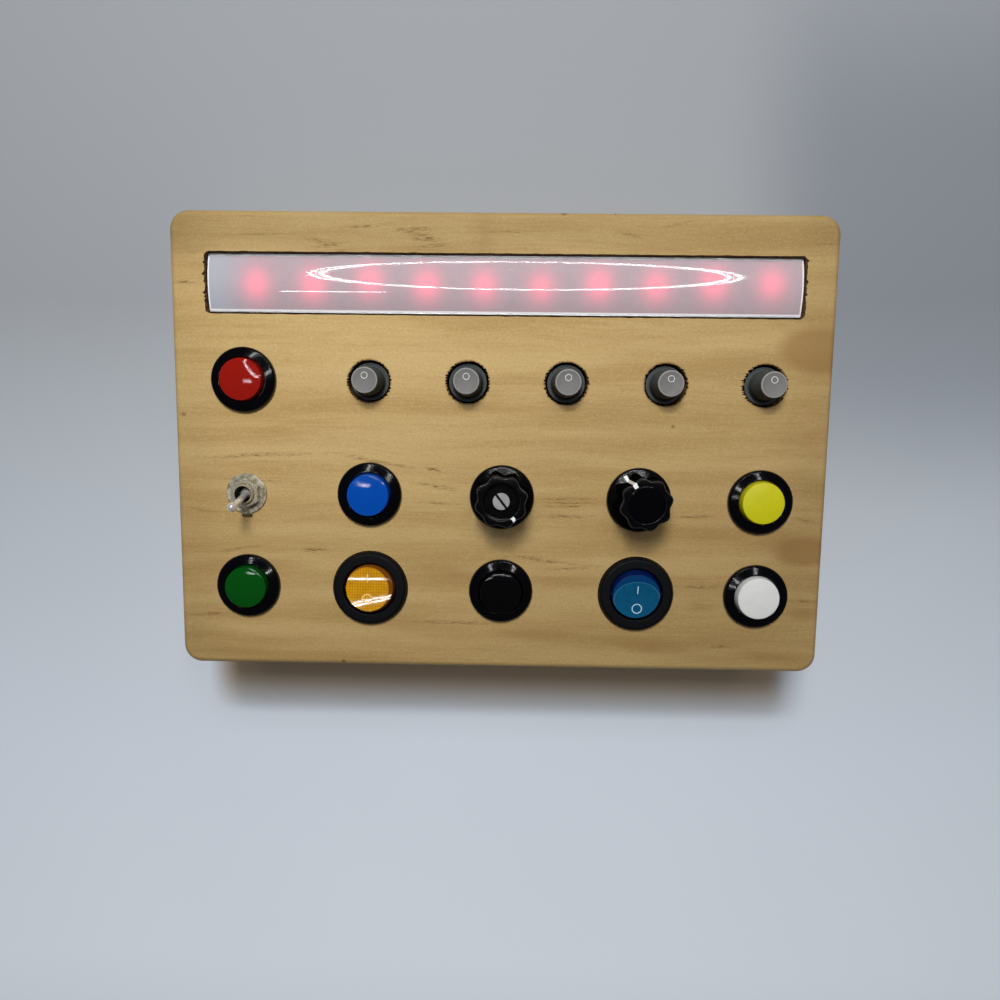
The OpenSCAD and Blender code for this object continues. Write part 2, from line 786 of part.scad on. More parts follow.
module toggle_washer() {
  color("silver") at(toggle_at, z_face) difference() {
    union() {
      cylinder(h = washer_t, r = washer_d / 2);
      translate([-washer_tab[0] / 2, -washer_d / 2 - washer_tab_proud, 0])
        cube([washer_tab[0], washer_tab[1], washer_t]);
    }
    translate([0, 0, -1]) cylinder(h = washer_t + 2, r = neck_d / 2 + fit);
  }
}

module toggle_nut() {
  color("silver") at(toggle_at, z_face + washer_t) rotate([0, 0, 30])
    hex_nut(toggle_nut_d, toggle_nut_t, neck_d + 2 * fit);
}

module toggle_terminals() {
  color("silver") at(toggle_at) for (y = toggle_tabs)
    tab([0, y, z_in - toggle_case[2]], toggle_tab);
}

// Dials

module dial(pointer) {
  rotate([0, 0, pointer]) difference() {
    union() {
      translate([0, 0, dial_z]) cylinder(h = skirt_t, r = dial_d / 2);
      difference() {
        translate([0, 0, dial_z + skirt_t])
          cylinder(h = dial_h - skirt_t, r1 = lobe_foot_d / 2, r2 = lobe_top_d / 2);
        for (i = [0 : lobe_count - 1]) rotate([0, 0, (i + 0.5) * 360 / lobe_count])
          translate([flute_ring_r, 0, dial_z + skirt_t - hair]) cylinder(h = dial_h, r = flute_r);
      }
    }
    translate([0, 0, z_face]) {
      cylinder(h = dial_nut_t + pocket_play, r = nut_pocket_d / 2);
      cylinder(h = bush_proud + pocket_play, r = bush_d / 2 + pocket_play);
    }
    translate([0, 0, dial_z]) cylinder(h = dial_shaft_top - dial_z + shaft_play, r = shaft_d / 2 + fit);
    translate([0, 0, recess_z]) cylinder(h = recess_depth + 1, r = dial_cap_d / 2 + fit);
    translate([0, 0, dial_shaft_top]) cylinder(h = dial_h, r = collet_shank_r + loose);
  }
}

module dial_shaft() {
  low = z_in - pot_h + pot_floor + fit;
  difference() {
    translate([0, 0, low]) cylinder(h = dial_shaft_top - low, r = shaft_d / 2);
    translate([0, 0, dial_shaft_top - collet_grip - 0.5])
      cylinder(h = collet_grip + 1, r = collet_shank_r + fit);
  }
}

// Collet screw: its slotted head lies on the floor of the dial's recess
module dial_screw(pointer) {
  rotate([0, 0, pointer]) difference() {
    union() {
      translate([0, 0, recess_z]) cylinder(h = collet_head_t, r = collet_d / 2);
      translate([0, 0, dial_shaft_top - collet_grip])
        cylinder(h = recess_z - dial_shaft_top + collet_grip, r = collet_shank_r);
    }
    translate([-collet_d, -collet_slot / 2, recess_z + collet_head_t - collet_slot])
      cube([2 * collet_d, collet_slot, 1]);
  }
}

module left_dial() color("black") at(left_dial_at) dial(left_pointer);
module right_dial() color("black") at(right_dial_at) dial(right_pointer);
module left_dial_shaft() color("silver") at(left_dial_at) dial_shaft();
module right_dial_shaft() color("silver") at(right_dial_at) dial_shaft();
module left_dial_screw() color("silver") at(left_dial_at) dial_screw(left_slot);
module right_dial_screw() color("silver") at(right_dial_at) dial_screw(right_slot);

module right_dial_cap() {
  color("black") at(right_dial_at) difference() {
    translate([0, 0, recess_z + fit]) cylinder(h = recess_depth - fit, r = dial_cap_d / 2);
    translate([0, 0, recess_z - 1])
      cylinder(h = collet_head_t + shaft_play + 1, r = collet_d / 2 + pocket_play);
  }
}

module dial_pots() {
  color("slategray") for (p = dial_spots) at(p) {
    difference() {
      union() {
        translate([0, 0, z_in - pot_h]) cylinder(h = pot_h, r = pot_d / 2);
        translate([0, 0, z_in]) cylinder(h = panel_t + bush_proud, r = bush_d / 2);
      }
      translate([0, 0, z_in - pot_h + pot_floor])
        cylinder(h = pot_h + panel_t + bush_proud, r = shaft_d / 2 + fit);
    }
    for (x = pot_tabs) translate([x - pot_tab[0] / 2, -(pot_d + pot_tab[1]) / 2, z_in - pot_h + pot_floor])
      cube(pot_tab);
  }
}

module dial_nuts() {
  color("silver") for (p = dial_spots) at(p, z_face) hex_nut(dial_nut_d, dial_nut_t, bush_d + 2 * fit);
}

// Rockers, drawn level and then turned to their resting side

module rocker(rest) {
  translate([0, 0, rocker_pivot_z]) rotate([rest, 0, 0]) {
    intersection() {
      sphere(r = lens_r);
      translate([-lens_d, 0, 0]) rotate([90, 0, 90]) linear_extrude(2 * lens_d) polygon([
        [-lens_d, lens_mid_h + 2 * (lens_edge_h - lens_mid_h)], [0, lens_mid_h],
        [lens_d, lens_mid_h + 2 * (lens_edge_h - lens_mid_h)], [lens_d, -lens_skirt], [-lens_d, -lens_skirt]
      ]);
    }
    translate([0, 0, -peg_l]) cylinder(h = peg_l, r = peg_d / 2);
    rotate([0, 90, 0]) cylinder(h = lens_d + 2 * trunnion_l, r = trunnion_r, center = true);
  }
}

module rocker_housing() {
  difference() {
    union() {
      translate([0, 0, z_face])
        cylinder(h = rocker_bezel_h, r1 = rocker_bezel_d / 2, r2 = rocker_bezel_top_d / 2);
      translate([0, 0, z_face - housing_l]) cylinder(h = housing_l, r = housing_d / 2);
    }
    translate([0, 0, z_face - pocket_depth]) cylinder(h = pocket_depth + rocker_bezel_h + 1, r = pocket_r);
    translate([0, 0, rocker_pivot_z]) rotate([0, 90, 0])
      cylinder(h = lens_d + 2 * trunnion_l + 2 * lens_gap, r = trunnion_r + fit, center = true);
  }
}

module amber_rocker() color("orange") at(amber_at) rocker(-rocker_tilt);
module blue_rocker() color("teal") at(blue_rocker_at) rocker(rocker_tilt);
module amber_rocker_housing() color("black") at(amber_at) rocker_housing();
module blue_rocker_housing() color("black") at(blue_rocker_at) rocker_housing();

module rocker_terminals() {
  color("gold") for (p = rocker_spots) at(p) for (y = rocker_tabs)
    tab([0, y, z_face - housing_l], rocker_tab);
}

// Power and control

module battery_holder() {
  color("dimgray") translate([holder_x - holder_l / 2, holder_y - holder_w / 2, cover_t]) difference() {
    cube([holder_l, holder_w, holder_h]);
    translate([holder_wall, holder_wall, holder_wall])
      cube([holder_l - 2 * holder_wall, holder_w - 2 * holder_wall, holder_h]);
  }
}

module batteries() {
  color("seagreen") for (i = [0 : cell_count - 1])
    translate([
      holder_x - cell_l / 2,
      holder_y + (i - (cell_count - 1) / 2) * (cell_d + cell_gap),
      cover_t + holder_wall + cell_d / 2
    ]) rotate([0, 90, 0]) {
      cylinder(h = cell_l - cell_tip_l, r = cell_d / 2);
      translate([0, 0, cell_l - cell_tip_l]) cylinder(h = cell_tip_l, r = cell_tip_r);
    }
}

module control_board() {
  color("teal") {
    difference() {
      translate([control_x - control_l / 2, control_y - control_w / 2, control_z])
        cube([control_l, control_w, board_t]);
      for (p = control_holes) at(p, control_z) screw_hole(board_t);
    }
    // Chip and the three plugs that the looms end in
    translate([control_x - chip[0] / 2, control_y - chip[1] / 2, control_top]) cube(chip);
    for (x = [knob_loom_x, lead_hole_x]) translate([x - plug_w / 2, plug_y - plug_w, control_top])
      cube([min(plug_w, control_x + control_l / 2 - x + plug_w / 2), plug_w, plug_h]);
    translate([control_x - control_l / 2, holder_y - plug_w / 2, control_top]) cube([plug_w, plug_w, plug_h]);
  }
}

// A loom that drops from z_top, bends and runs along -Y to the board's plug
module falling_loom(x, y, z_top) {
  r = loom_d / 2;
  translate([x, y, loom_z + loom_bend]) cylinder(h = z_top - loom_z - loom_bend, r = r);
  translate([x, y - loom_bend, loom_z + loom_bend]) rotate([0, 90, 0])
    rotate_extrude(angle = 90) translate([loom_bend, 0]) circle(r = r);
  translate([x, y - loom_bend, loom_z]) rotate([90, 0, 0]) cylinder(h = y - loom_bend - plug_y, r = r);
}

module light_leads() color("white") falling_loom(lead_hole_x, window_y, led_seat);
module knob_loom() color("red") falling_loom(knob_loom_x, knob_loom_y, knob_board_z - board_t);

module power_leads() {
  low = holder_x + holder_l / 2;
  high = control_x - control_l / 2;
  color("crimson") translate([low, holder_y, loom_z]) rotate([0, 90, 0])
    cylinder(h = high - low, r = loom_d / 2);
}

front_panel();
top_rail();
bottom_rail();
left_stile();
right_stile();
back_cover();
back_screws();
led_channel();
led_cover();
led_strip();
led_chips();
red_button_cap();
blue_button_cap();
yellow_button_cap();
green_button_cap();
black_button_cap();
white_button_cap();
button_housings();
button_nuts();
button_springs();
button_terminals();
grey_knob_1();
grey_knob_2();
grey_knob_3();
grey_knob_4();
grey_knob_5();
knob_shaft_1();
knob_shaft_2();
knob_shaft_3();
knob_shaft_4();
knob_shaft_5();
knob_pots();
knob_board();
board_posts();
board_screws();
toggle_lever();
toggle_body();
toggle_nut();
toggle_washer();
toggle_terminals();
left_dial();
right_dial();
left_dial_shaft();
right_dial_shaft();
left_dial_screw();
right_dial_screw();
right_dial_cap();
dial_pots();
dial_nuts();
amber_rocker();
blue_rocker();
amber_rocker_housing();
blue_rocker_housing();
rocker_terminals();
battery_holder();
batteries();
control_board();
power_leads();
light_leads();
knob_loom();
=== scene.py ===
import random
from math import asin, atan, atan2, copysign, cos, degrees, hypot, pi, radians, sin, tan, tau

import bmesh
import bpy
from mathutils import Matrix, Vector


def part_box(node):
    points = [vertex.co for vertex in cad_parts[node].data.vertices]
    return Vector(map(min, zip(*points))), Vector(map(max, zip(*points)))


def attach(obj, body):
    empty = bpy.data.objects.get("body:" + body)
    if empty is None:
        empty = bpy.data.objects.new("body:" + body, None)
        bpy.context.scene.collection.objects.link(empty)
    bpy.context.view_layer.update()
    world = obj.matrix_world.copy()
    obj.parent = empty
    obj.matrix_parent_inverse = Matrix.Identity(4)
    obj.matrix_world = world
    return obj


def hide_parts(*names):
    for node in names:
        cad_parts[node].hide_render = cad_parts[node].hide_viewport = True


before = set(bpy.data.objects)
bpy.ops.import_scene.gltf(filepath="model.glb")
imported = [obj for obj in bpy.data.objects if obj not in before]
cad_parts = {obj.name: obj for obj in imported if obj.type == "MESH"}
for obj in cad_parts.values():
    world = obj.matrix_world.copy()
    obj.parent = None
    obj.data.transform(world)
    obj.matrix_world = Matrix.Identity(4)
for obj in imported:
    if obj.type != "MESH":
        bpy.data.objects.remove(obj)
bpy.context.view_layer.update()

mm = 0.001
alongX = (0, pi / 2, 0)  # turns a bar from Z to X


def pick(piece):  # the one piece that the next operator works on
    bpy.ops.object.select_all(action="DESELECT")
    piece.select_set(True)
    bpy.context.view_layer.objects.active = piece


def openMesh(piece, kind="VERT"):
    pick(piece)
    bpy.ops.object.mode_set(mode="EDIT")
    bpy.ops.mesh.select_mode(type=kind)


def closeMesh():
    bpy.ops.object.mode_set(mode="OBJECT")


def choose(piece, kind, test):  # in edit mode, its faces or edges by place or normal
    bpy.ops.mesh.select_mode(type=kind)
    bpy.ops.mesh.select_all(action="DESELECT")
    shape = bmesh.from_edit_mesh(piece.data)
    for part in (shape.faces if kind == "FACE" else shape.edges):
        if test(part):
            part.select_set(True)
    bmesh.update_edit_mesh(piece.data)


def chooseAll():
    bpy.ops.mesh.select_all(action="SELECT")


def pulled(x, y, z):  # what is chosen, extruded by this much in mm
    bpy.ops.mesh.extrude_region_move(TRANSFORM_OT_translate={"value": (x * mm, y * mm, z * mm)})


def facedOut():
    chooseAll()
    bpy.ops.mesh.normals_make_consistent(inside=False)


def centre(face):  # in mm
    return face.calc_center_median() / mm


def coated(piece, *materials):
    for material in materials:
        piece.data.materials.append(material)
    return piece


def painted(piece, *jobs):  # each job gives some faces another of the piece's materials
    openMesh(piece, "FACE")
    for index, test in jobs:
        choose(piece, "FACE", test)
        piece.active_material_index = index
        bpy.ops.object.material_slot_assign()
    closeMesh()
    return piece


def at(spot, z=0):  # a spot in mm and a height, as a place in metres
    return (spot.x * mm, spot.y * mm, z * mm)


def started(primitive, name, **settings):  # a new primitive, alone in the selection
    bpy.ops.object.select_all(action="DESELECT")
    primitive(**settings)
    bpy.context.object.name = name
    return bpy.context.object


def placed(piece, spot, turn=(0, 0, 0)):  # moved there, with its place kept in the mesh
    pick(piece)
    piece.location = spot
    piece.rotation_euler = turn
    bpy.ops.object.transform_apply(location=True, rotation=True, scale=True)
    return piece


def applied(piece, kind, **settings):
    pick(piece)
    modifier = piece.modifiers.new(kind.title(), kind)
    for key, value in settings.items():
        setattr(modifier, key, value)
    bpy.ops.object.modifier_apply(modifier=modifier.name)
    return piece


def eased(piece, width, segments=2, angle=35):  # its sharp edges rounded, width in mm
    return applied(piece, "BEVEL", width=width * mm, segments=segments, limit_method="ANGLE",
                   angle_limit=radians(angle), harden_normals=False)


def joined(name, pieces):
    pick(pieces[0])
    for piece in pieces[1:]:
        piece.select_set(True)
    bpy.ops.object.join()
    pieces[0].name = name
    return pieces[0]


def cutBy(piece, cutter):
    applied(piece, "BOOLEAN", object=cutter, operation="DIFFERENCE", solver="EXACT",
            material_mode="TRANSFER")
    bpy.data.objects.remove(cutter)
    return piece


def duplicated(piece, name, shift):
    pick(piece)
    bpy.ops.object.duplicate(linked=False)
    double = bpy.context.object
    double.name = name
    return placed(double, shift)


def block(name, low, high):  # a cuboid between two corners in mm
    piece = started(bpy.ops.mesh.primitive_cube_add, name, size=1)
    piece.scale = [(b - a) * mm for a, b in zip(low, high)]
    return placed(piece, [(a + b) / 2 * mm for a, b in zip(low, high)])


def rod(name, radius, low, high, sides=96):  # a round bar along Z in mm
    piece = started(bpy.ops.mesh.primitive_cylinder_add, name, vertices=sides, radius=radius * mm,
                    depth=(high - low) * mm)
    return placed(piece, (0, 0, (low + high) / 2 * mm))


def hoop(name, radius, wire, steps, sides):  # a thin ring round Z in mm
    return started(bpy.ops.mesh.primitive_torus_add, name, major_segments=steps, minor_segments=sides,
                   major_radius=radius * mm, minor_radius=wire * mm)


def arc(r, z, radius, start, end, steps=5):  # outline points round (r, z), angles in degrees
    return [(r + radius * cos(radians(start + (end - start) * i / steps)),
             z + radius * sin(radians(start + (end - start) * i / steps)))
            for i in range(steps + 1)]


def drawn(name, outline):  # a line through these points in mm, left in edit mode
    piece = started(bpy.ops.mesh.primitive_plane_add, name, size=mm)
    openMesh(piece)
    chooseAll()
    bpy.ops.mesh.merge(type="CENTER")
    bpy.ops.transform.translate(value=[place * mm for place in outline[0]])
    for here, there in zip(outline, outline[1:]):
        pulled(*(b - a for a, b in zip(here, there)))
    chooseAll()
    return piece


def turned(name, outline, steps=72):  # (radius, height) pairs in mm, spun round Z
    piece = drawn(name, [(r, 0, z) for r, z in outline])
    bpy.ops.mesh.spin(steps=steps, angle=tau, center=(0, 0, 0), axis=(0, 0, 1))
    chooseAll()
    bpy.ops.mesh.remove_doubles(threshold=0.002 * mm)
    bpy.ops.mesh.normals_make_consistent(inside=False)
    closeMesh()
    return piece


def copied(name, node):  # a new piece from the solid's own mesh
    piece = bpy.data.objects.new(name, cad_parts[node].data.copy())
    bpy.context.scene.collection.objects.link(piece)
    piece.data.materials.clear()
    return piece


def softened(name, node, width, segments=2):  # the solid itself with its corners eased
    piece = copied(name, node)
    openMesh(piece)
    chooseAll()
    bpy.ops.mesh.remove_doubles(threshold=0.001 * mm)
    bpy.ops.mesh.dissolve_limited(angle_limit=radians(1))
    bpy.ops.mesh.normals_make_consistent(inside=False)
    bpy.ops.mesh.customdata_custom_splitnormals_clear()
    closeMesh()
    return eased(piece, width, segments)


def finished(piece, body, material, nodes=(), angle=35):
    pick(piece)
    bpy.ops.object.shade_smooth_by_angle(angle=radians(angle))
    applied(piece, "WEIGHTED_NORMAL", keep_sharp=True)  # broad faces stay flat beside their eased edges
    if material:
        coated(piece, material)
    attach(piece, body)
    if nodes:
        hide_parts(*nodes)
    return piece


def sizes(look, *names):  # several values of one dictionary
    return [look[name] for name in names]


def middle(node):  # centre of a solid in mm
    low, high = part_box(node)
    return (low + high) / 2 / mm


def tone(red, green, blue):  # a colour by its display values, 0 to 255
    return tuple((v / 255 / 12.92) if v < 11 else ((v / 255 + 0.055) / 1.055) ** 2.4
                 for v in (red, green, blue)) + (1,)


bench = {}  # holds the node tree that new nodes go into


def give(material, values):
    for socket, value in values.items():
        material.node_tree.nodes["Principled BSDF"].inputs[socket].default_value = value


def newMaterial(name, values):
    material = bpy.data.materials.new(name)
    material.use_nodes = True
    give(material, values)
    bench["tree"] = material.node_tree
    return material


def add(kind, feeds, **settings):  # one node, fed with values or other outputs
    tree = bench["tree"]
    node = tree.nodes.new("ShaderNode" + kind)
    for key, value in settings.items():
        setattr(node, key, value)
    for key, value in feeds.items():
        if isinstance(value, bpy.types.NodeSocket):
            tree.links.new(value, node.inputs[key])
        else:
            node.inputs[key].default_value = value
    return node.outputs


def feed(socket, output):  # into the shader itself
    bench["tree"].links.new(output, bench["tree"].nodes["Principled BSDF"].inputs[socket])


def places(scale=(1, 1, 1), shift=(0, 0, 0), turn=(0, 0, 0)):  # Object coordinates in mm
    return add("Mapping", {"Vector": add("TexCoord", {})["Object"], "Scale": [s / mm for s in scale],
                           "Location": shift, "Rotation": turn})[0]


def stretched(vector, x, y):  # the pattern's scale along and across the grain
    return add("Mapping", {"Vector": vector, "Scale": (x, y, y)})[0]


def oval(vector, place, size, slope=0):  # coordinates that are 1 long at the edge of an ellipsoid
    return add("Mapping", {"Vector": vector, "Location": place, "Rotation": (0, 0, radians(slope)),
                           "Scale": size}, vector_type="TEXTURE")[0]


def fading(vector, place, size, slope=0):  # 1 in the middle of an ellipsoid, 0 from its edge on
    return add("TexGradient", {"Vector": oval(vector, place, size, slope)}, gradient_type="SPHERICAL")[1]


def reckon(operation, first, second):  # with vectors
    return add("VectorMath", {0: first, 1: second}, operation=operation)[0]


def lengthOf(vector):
    return add("VectorMath", {0: vector}, operation="LENGTH")["Value"]


def apart(vector):  # its x, y and z
    return add("SeparateXYZ", {0: vector})


def cloud(vector, scale, detail=3.0, rough=0.5):
    return add("TexNoise", {"Vector": vector, "Scale": scale, "Detail": detail, "Roughness": rough})[0]


def count(operation, first, second=0.0, third=0.0, clamp=False):
    return add("Math", {0: first, 1: second, 2: third}, operation=operation, use_clamp=clamp)[0]


def plus(first, second, clamp=False):
    return count("ADD", first, second, clamp=clamp)


def minus(first, second):
    return count("SUBTRACT", first, second)


def times(first, second):
    return count("MULTIPLY", first, second)


def spread(value, low, high, newLow=0.0, newHigh=1.0, kind="SMOOTHSTEP"):
    return add("MapRange", {"Value": value, "From Min": low, "From Max": high, "To Min": newLow,
                            "To Max": newHigh}, interpolation_type=kind)[0]


def blendTones(factor, first, second, how="MIX"):
    return add("Mix", {0: factor, 6: first, 7: second}, data_type="RGBA", blend_type=how)[2]


def bump(height, distance):
    feed("Normal", add("Bump", {"Height": height, "Strength": 1.0, "Distance": distance * mm})[0])


def shades(colour, drift):  # a darker and a lighter one
    return [tuple(min(1, c * share) for c in colour[:3]) + (1,) for share in (1 - drift, 1 + drift)]


def plastic(name, colour, roughness, wobble=0.0, grit=0.004, drift=0.08, shine=0.5):
    material = newMaterial(name, {"Specular IOR Level": shine})
    spot = places()
    feed("Base Color", blendTones(cloud(spot, 0.35, 4), *shades(colour, drift)))
    smudge = cloud(spot, 0.8, 5, 0.65)
    feed("Roughness", spread(smudge, 0.3, 0.7, roughness * 0.8, roughness * 1.25))
    bump(plus(times(cloud(spot, 9, 3), grit), times(cloud(spot, 0.16, 1), wobble)), 1.0)
    return material


def metal(name, colour, roughness, stretch=(1, 1, 1), grit=0.01, scale=3.0, drift=0.12, metallic=1.0):
    material = newMaterial(name, {"Metallic": metallic})
    spot = places(stretch)
    feed("Base Color", blendTones(cloud(spot, scale * 0.3, 5, 0.6), *shades(colour, drift)))
    fine = cloud(spot, scale, 5, 0.6)
    feed("Roughness", spread(fine, 0.3, 0.7, roughness * 0.75, roughness * 1.3))
    bump(times(fine, grit), 1.0)
    return material


knobs = [middle(f"grey_knob_{i}") for i in range(1, 6)]

print("materials: wood")

pineLook = {
    "light": tone(197, 168, 114), "dark": tone(176, 145, 91), "streak": tone(104, 72, 36),
    "patch": tone(163, 128, 78), "fleck": tone(224, 199, 146), "grain": tone(160, 129, 78),
    # the tone multiplied in for painted shade where the light falls off
    "falloffShade": tone(208, 206, 202), "fibreShare": 0.3, "streakShare": 1.9, "streakWide": 2.5,
    "sway": (3.0, 5.0, 5.0), "face": 42, "deep": 12, "dotDeep": 6, "patchDeep": 30, "tornRimShade": (5.95, 5.5),
    # streaks of late wood on the face: x, y, half length, half width (mm), slope (degrees), depth
    "streaks": [
        (-91, 55.6, 6, 0.3, 2, 0.4), (-92, 46.1, 6, 0.3, 1, 0.5), (-70, 60.9, 18, 0.25, 5, 0.4),
        (-53, 60, 8, 0.4, -9, 0.4), (-50, 58.9, 7, 0.35, 9, 0.5), (-40, 64.2, 11, 0.25, 4, 0.5),
        (-23, 61.2, 9, 0.5, -14, 0.45), (-23, 60.4, 7, 0.25, -3, 0.45), (2, 61.8, 9, 0.25, 1, 0.5),
        (36, 61.8, 5, 0.4, -12, 0.45), (50, 64.6, 6, 0.25, 12, 0.4), (-47, 57.2, 8, 0.35, 4, 0.5),
        (-20, 58.6, 7, 0.35, 3, 0.5), (-25, 63, 8, 0.4, -3, 0.5),
        (-73, -3.8, 26, 0.35, 2, 0.6), (-36, -4.8, 17, 0.35, -8, 0.6), (-20, -6.6, 3, 0.4, -12, 1.0),
        (-71, -10.7, 26, 0.35, -2, 0.35), (-19, -12, 9, 0.35, -9, 0.7), (-18, -17.1, 9, 0.3, -2, 0.45),
        (-89, -19.3, 9, 0.3, -4, 0.3), (-78, -31.7, 9, 0.35, 6, 0.7), (-55, -32.2, 5, 0.35, 3, 0.7),
        (-75, -36.1, 27, 1.2, -1, 0.6), (-13, -38.5, 21, 1.5, -8, 0.5), (-88, -52.5, 9, 0.3, 3, 0.6),
        (-31, -54.6, 40, 1.6, -4, 0.5), (-12, -53.5, 20, 0.3, 0, 0.6), (-78, -63.8, 22, 1.3, -5, 0.6),
        (-44, -65.6, 24, 1.1, -2, 0.35),
        (20, -14.6, 11, 0.25, 0, 0.6), (20, -15.8, 11, 0.2, 0, 0.5), (21, -16.9, 11, 0.25, 1, 0.6),
        (20, -20.4, 14, 0.35, 2, 0.7), (59, -19.6, 10, 0.3, 2, 0.55), (91, -20.6, 6, 0.4, -12, 0.45),
        (62, -24.9, 13, 2.6, -5, 0.3), (84, -28.7, 15, 2.8, -13, 0.55), (13, -33.9, 18, 0.35, -5, 0.55),
        (20, -36.3, 14, 0.35, 3, 0.5), (20, -40.1, 13, 1.1, 3, 0.4), (61, -41.1, 10, 0.3, 0, 0.55),
        (61, -47.1, 8, 1.3, -2, 0.45), (92, -45.7, 6, 0.35, -2, 0.6), (92, -49.6, 7, 1.1, -1, 0.7),
        (13, -56.9, 18, 1.5, -2, 0.55), (47, -59.4, 22, 1.5, -6, 0.55), (82, -62.4, 19, 1.5, -4, 0.55),
        (68, -59, 6, 0.3, 3, 0.5), (-5.2, 60.9, 6, 6, 0, 0.35),
    ],
    # knots and pits: x, y, radius (mm), depth
    "dots": [(17.4, 67.3, 0.8, 1.6), (32.5, 67.1, 0.45, 1.0), (-94.5, 9.2, 0.7, 0.8),
             (-47.9, -66.9, 0.5, 1.2), (51.1, 7.5, 0.5, 0.9)],
    # brown heartwood patches that run off the right-hand edge: x, y, half length, half height (mm)
    "patches": [(93, 29.5, 15, 8.5), (92, -30.5, 11, 5)],
}


def pineMaterial(name, turn=0.0, marked=True):
    look = pineLook
    material = newMaterial(name, {"Specular IOR Level": 0.32})
    spot = places(turn=(0, 0, turn))
    sway = add("TexNoise", {"Vector": stretched(spot, 0.02, 0.06), "Scale": 1.0, "Detail": 2.0})[1]
    sway = reckon("MULTIPLY", reckon("SUBTRACT", sway, (0.5, 0.5, 0.5)), look["sway"])
    spot = reckon("ADD", spot, sway)
    fibres = cloud(stretched(spot, 0.06, 1.5), 1.0, 6, 0.62)
    bands = cloud(stretched(spot, 0.012, 0.14), 1.0, 3, 0.5)
    grains = cloud(stretched(spot, 1.5, 1.9), 1.0, 4, 0.75)  # the speckle of sanded early wood
    mixed = plus(times(fibres, look["fibreShare"]), times(bands, 1 - look["fibreShare"]))
    colour = blendTones(spread(mixed, 0.34, 0.66), look["dark"], look["light"])
    colour = blendTones(spread(grains, 0.5, 0.75, 0, 0.45), colour, look["fleck"])
    colour = blendTones(spread(grains, 0.5, 0.28, 0, 0.4), colour, look["grain"])
    depth = spread(cloud(stretched(spot, 0.4, 5.0), 1.0, 2, 0.6), 0.64, 0.78, 0, 0.3)  # open pores
    if marked:
        dashes = spread(cloud(stretched(spot, 0.42, 5.5), 1.0, 4, 0.65), 0.47, 0.64, 0.06, 1.0)
        total, broadTotal = 0.0, 0.0
        for x, y, halfLength, halfWidth, slope, strength in look["streaks"]:
            size = (halfLength, halfWidth * look["streakWide"], look["deep"])
            fade = fading(spot, (x, y, look["face"]), size, slope)
            if halfWidth < 1:
                total = count("MULTIPLY_ADD", fade, strength * look["streakShare"], total)
            else:
                broadTotal = count("MULTIPLY_ADD", fade, strength, broadTotal)
        total = times(total, dashes)
        colour = blendTones(spread(broadTotal, 0.0, 0.6, 0, 0.55), colour, look["patch"])
        for x, y, radius, strength in look["dots"]:
            fade = fading(spot, (x, y, look["face"]), (radius * 1.6, radius * 1.3, look["dotDeep"]))
            total = count("MULTIPLY_ADD", fade, strength, total)
        for knob in knobs:  # the wood is darkened round the knobs' holes: torn fibres at the rim, with painted shade at the hole's edge
            flat = reckon("MULTIPLY", reckon("SUBTRACT", places(), (knob.x, knob.y, 0)), (1, 1, 0))
            out = count("MULTIPLY_ADD", grains, -1.6, lengthOf(flat))
            total = plus(total, spread(out, *look["tornRimShade"], 0, 0.8))
        for x, y, halfLength, halfHeight in look["patches"]:
            fade = fading(spot, (x, y, look["face"]), (halfLength, halfHeight, look["patchDeep"]))
            ragged = count("MULTIPLY_ADD", fibres, 0.3, minus(fade, 0.15))
            colour = blendTones(spread(ragged, 0.0, 0.42, 0, 0.8), colour, look["patch"])
        depth = plus(depth, total, clamp=True)
        x, y = apart(spot)[:2]  # painted shade: the wood is darkened to the lower right, along the top and at both ends, where the light falls off
        lower = spread(y, 30, -70, 0, 0.7, "LINEAR")
        aside = spread(x, -40, 85, 0, 0.42, "LINEAR")
        upper = spread(y, 50, 60, 0, 0.68)
        ends = spread(count("ABSOLUTE", x), 76, 97, 0, 0.3)
        paintedShade = plus(count("MAXIMUM", plus(lower, aside), upper), ends, clamp=True)
        colour = blendTones(paintedShade, colour, look["falloffShade"], "MULTIPLY")
    feed("Base Color", blendTones(depth, colour, look["streak"]))
    feed("Roughness", spread(fibres, 0.3, 0.7, 0.62, 0.5))
    bump(plus(minus(times(fibres, 0.05), times(depth, 0.05)), times(grains, 0.02)), 1.0)
    return material


pine = pineMaterial("pine face")
pineAcross = pineMaterial("pine upright", turn=pi / 2, marked=False)
pinePlain = pineMaterial("pine plain", marked=False)


def sawnWood():  # the rough walls of the cut-outs
    material = newMaterial("sawn pine", {"Specular IOR Level": 0.2, "Roughness": 0.85})
    rough = cloud(places((1, 1, 0.3)), 3.0, 5, 0.7)
    feed("Base Color", blendTones(spread(rough, 0.35, 0.65), tone(66, 47, 30), tone(136, 105, 66)))
    bump(rough, 0.2)
    return material


sawn = sawnWood()

print("materials: plastics and metals")

capTones = {  # colour, roughness, waviness
    "red": (tone(139, 23, 15), 0.035, 0.07), "blue": (tone(6, 70, 162), 0.015, 0.02),
    "green": (tone(6, 70, 15), 0.035, 0.07), "yellow": (tone(188, 184, 20), 0.36, 0.0),
    "black": (tone(5, 5, 6), 0.04, 0.02), "white": (tone(206, 207, 204), 0.4, 0.0),
}
caps = {name: plastic(name + " cap", colour, roughness, wobble)
        for name, (colour, roughness, wobble) in capTones.items()}
bezelBlack = plastic("bezel black", tone(5, 5, 8), 0.1, 0.02, shine=0.4)
dialBlack = plastic("dial black", tone(5, 5, 6), 0.13, 0.04, grit=0.008, shine=0.45)
dialWall = plastic("dial wall black", tone(5, 5, 6), 0.5, shine=0.0)
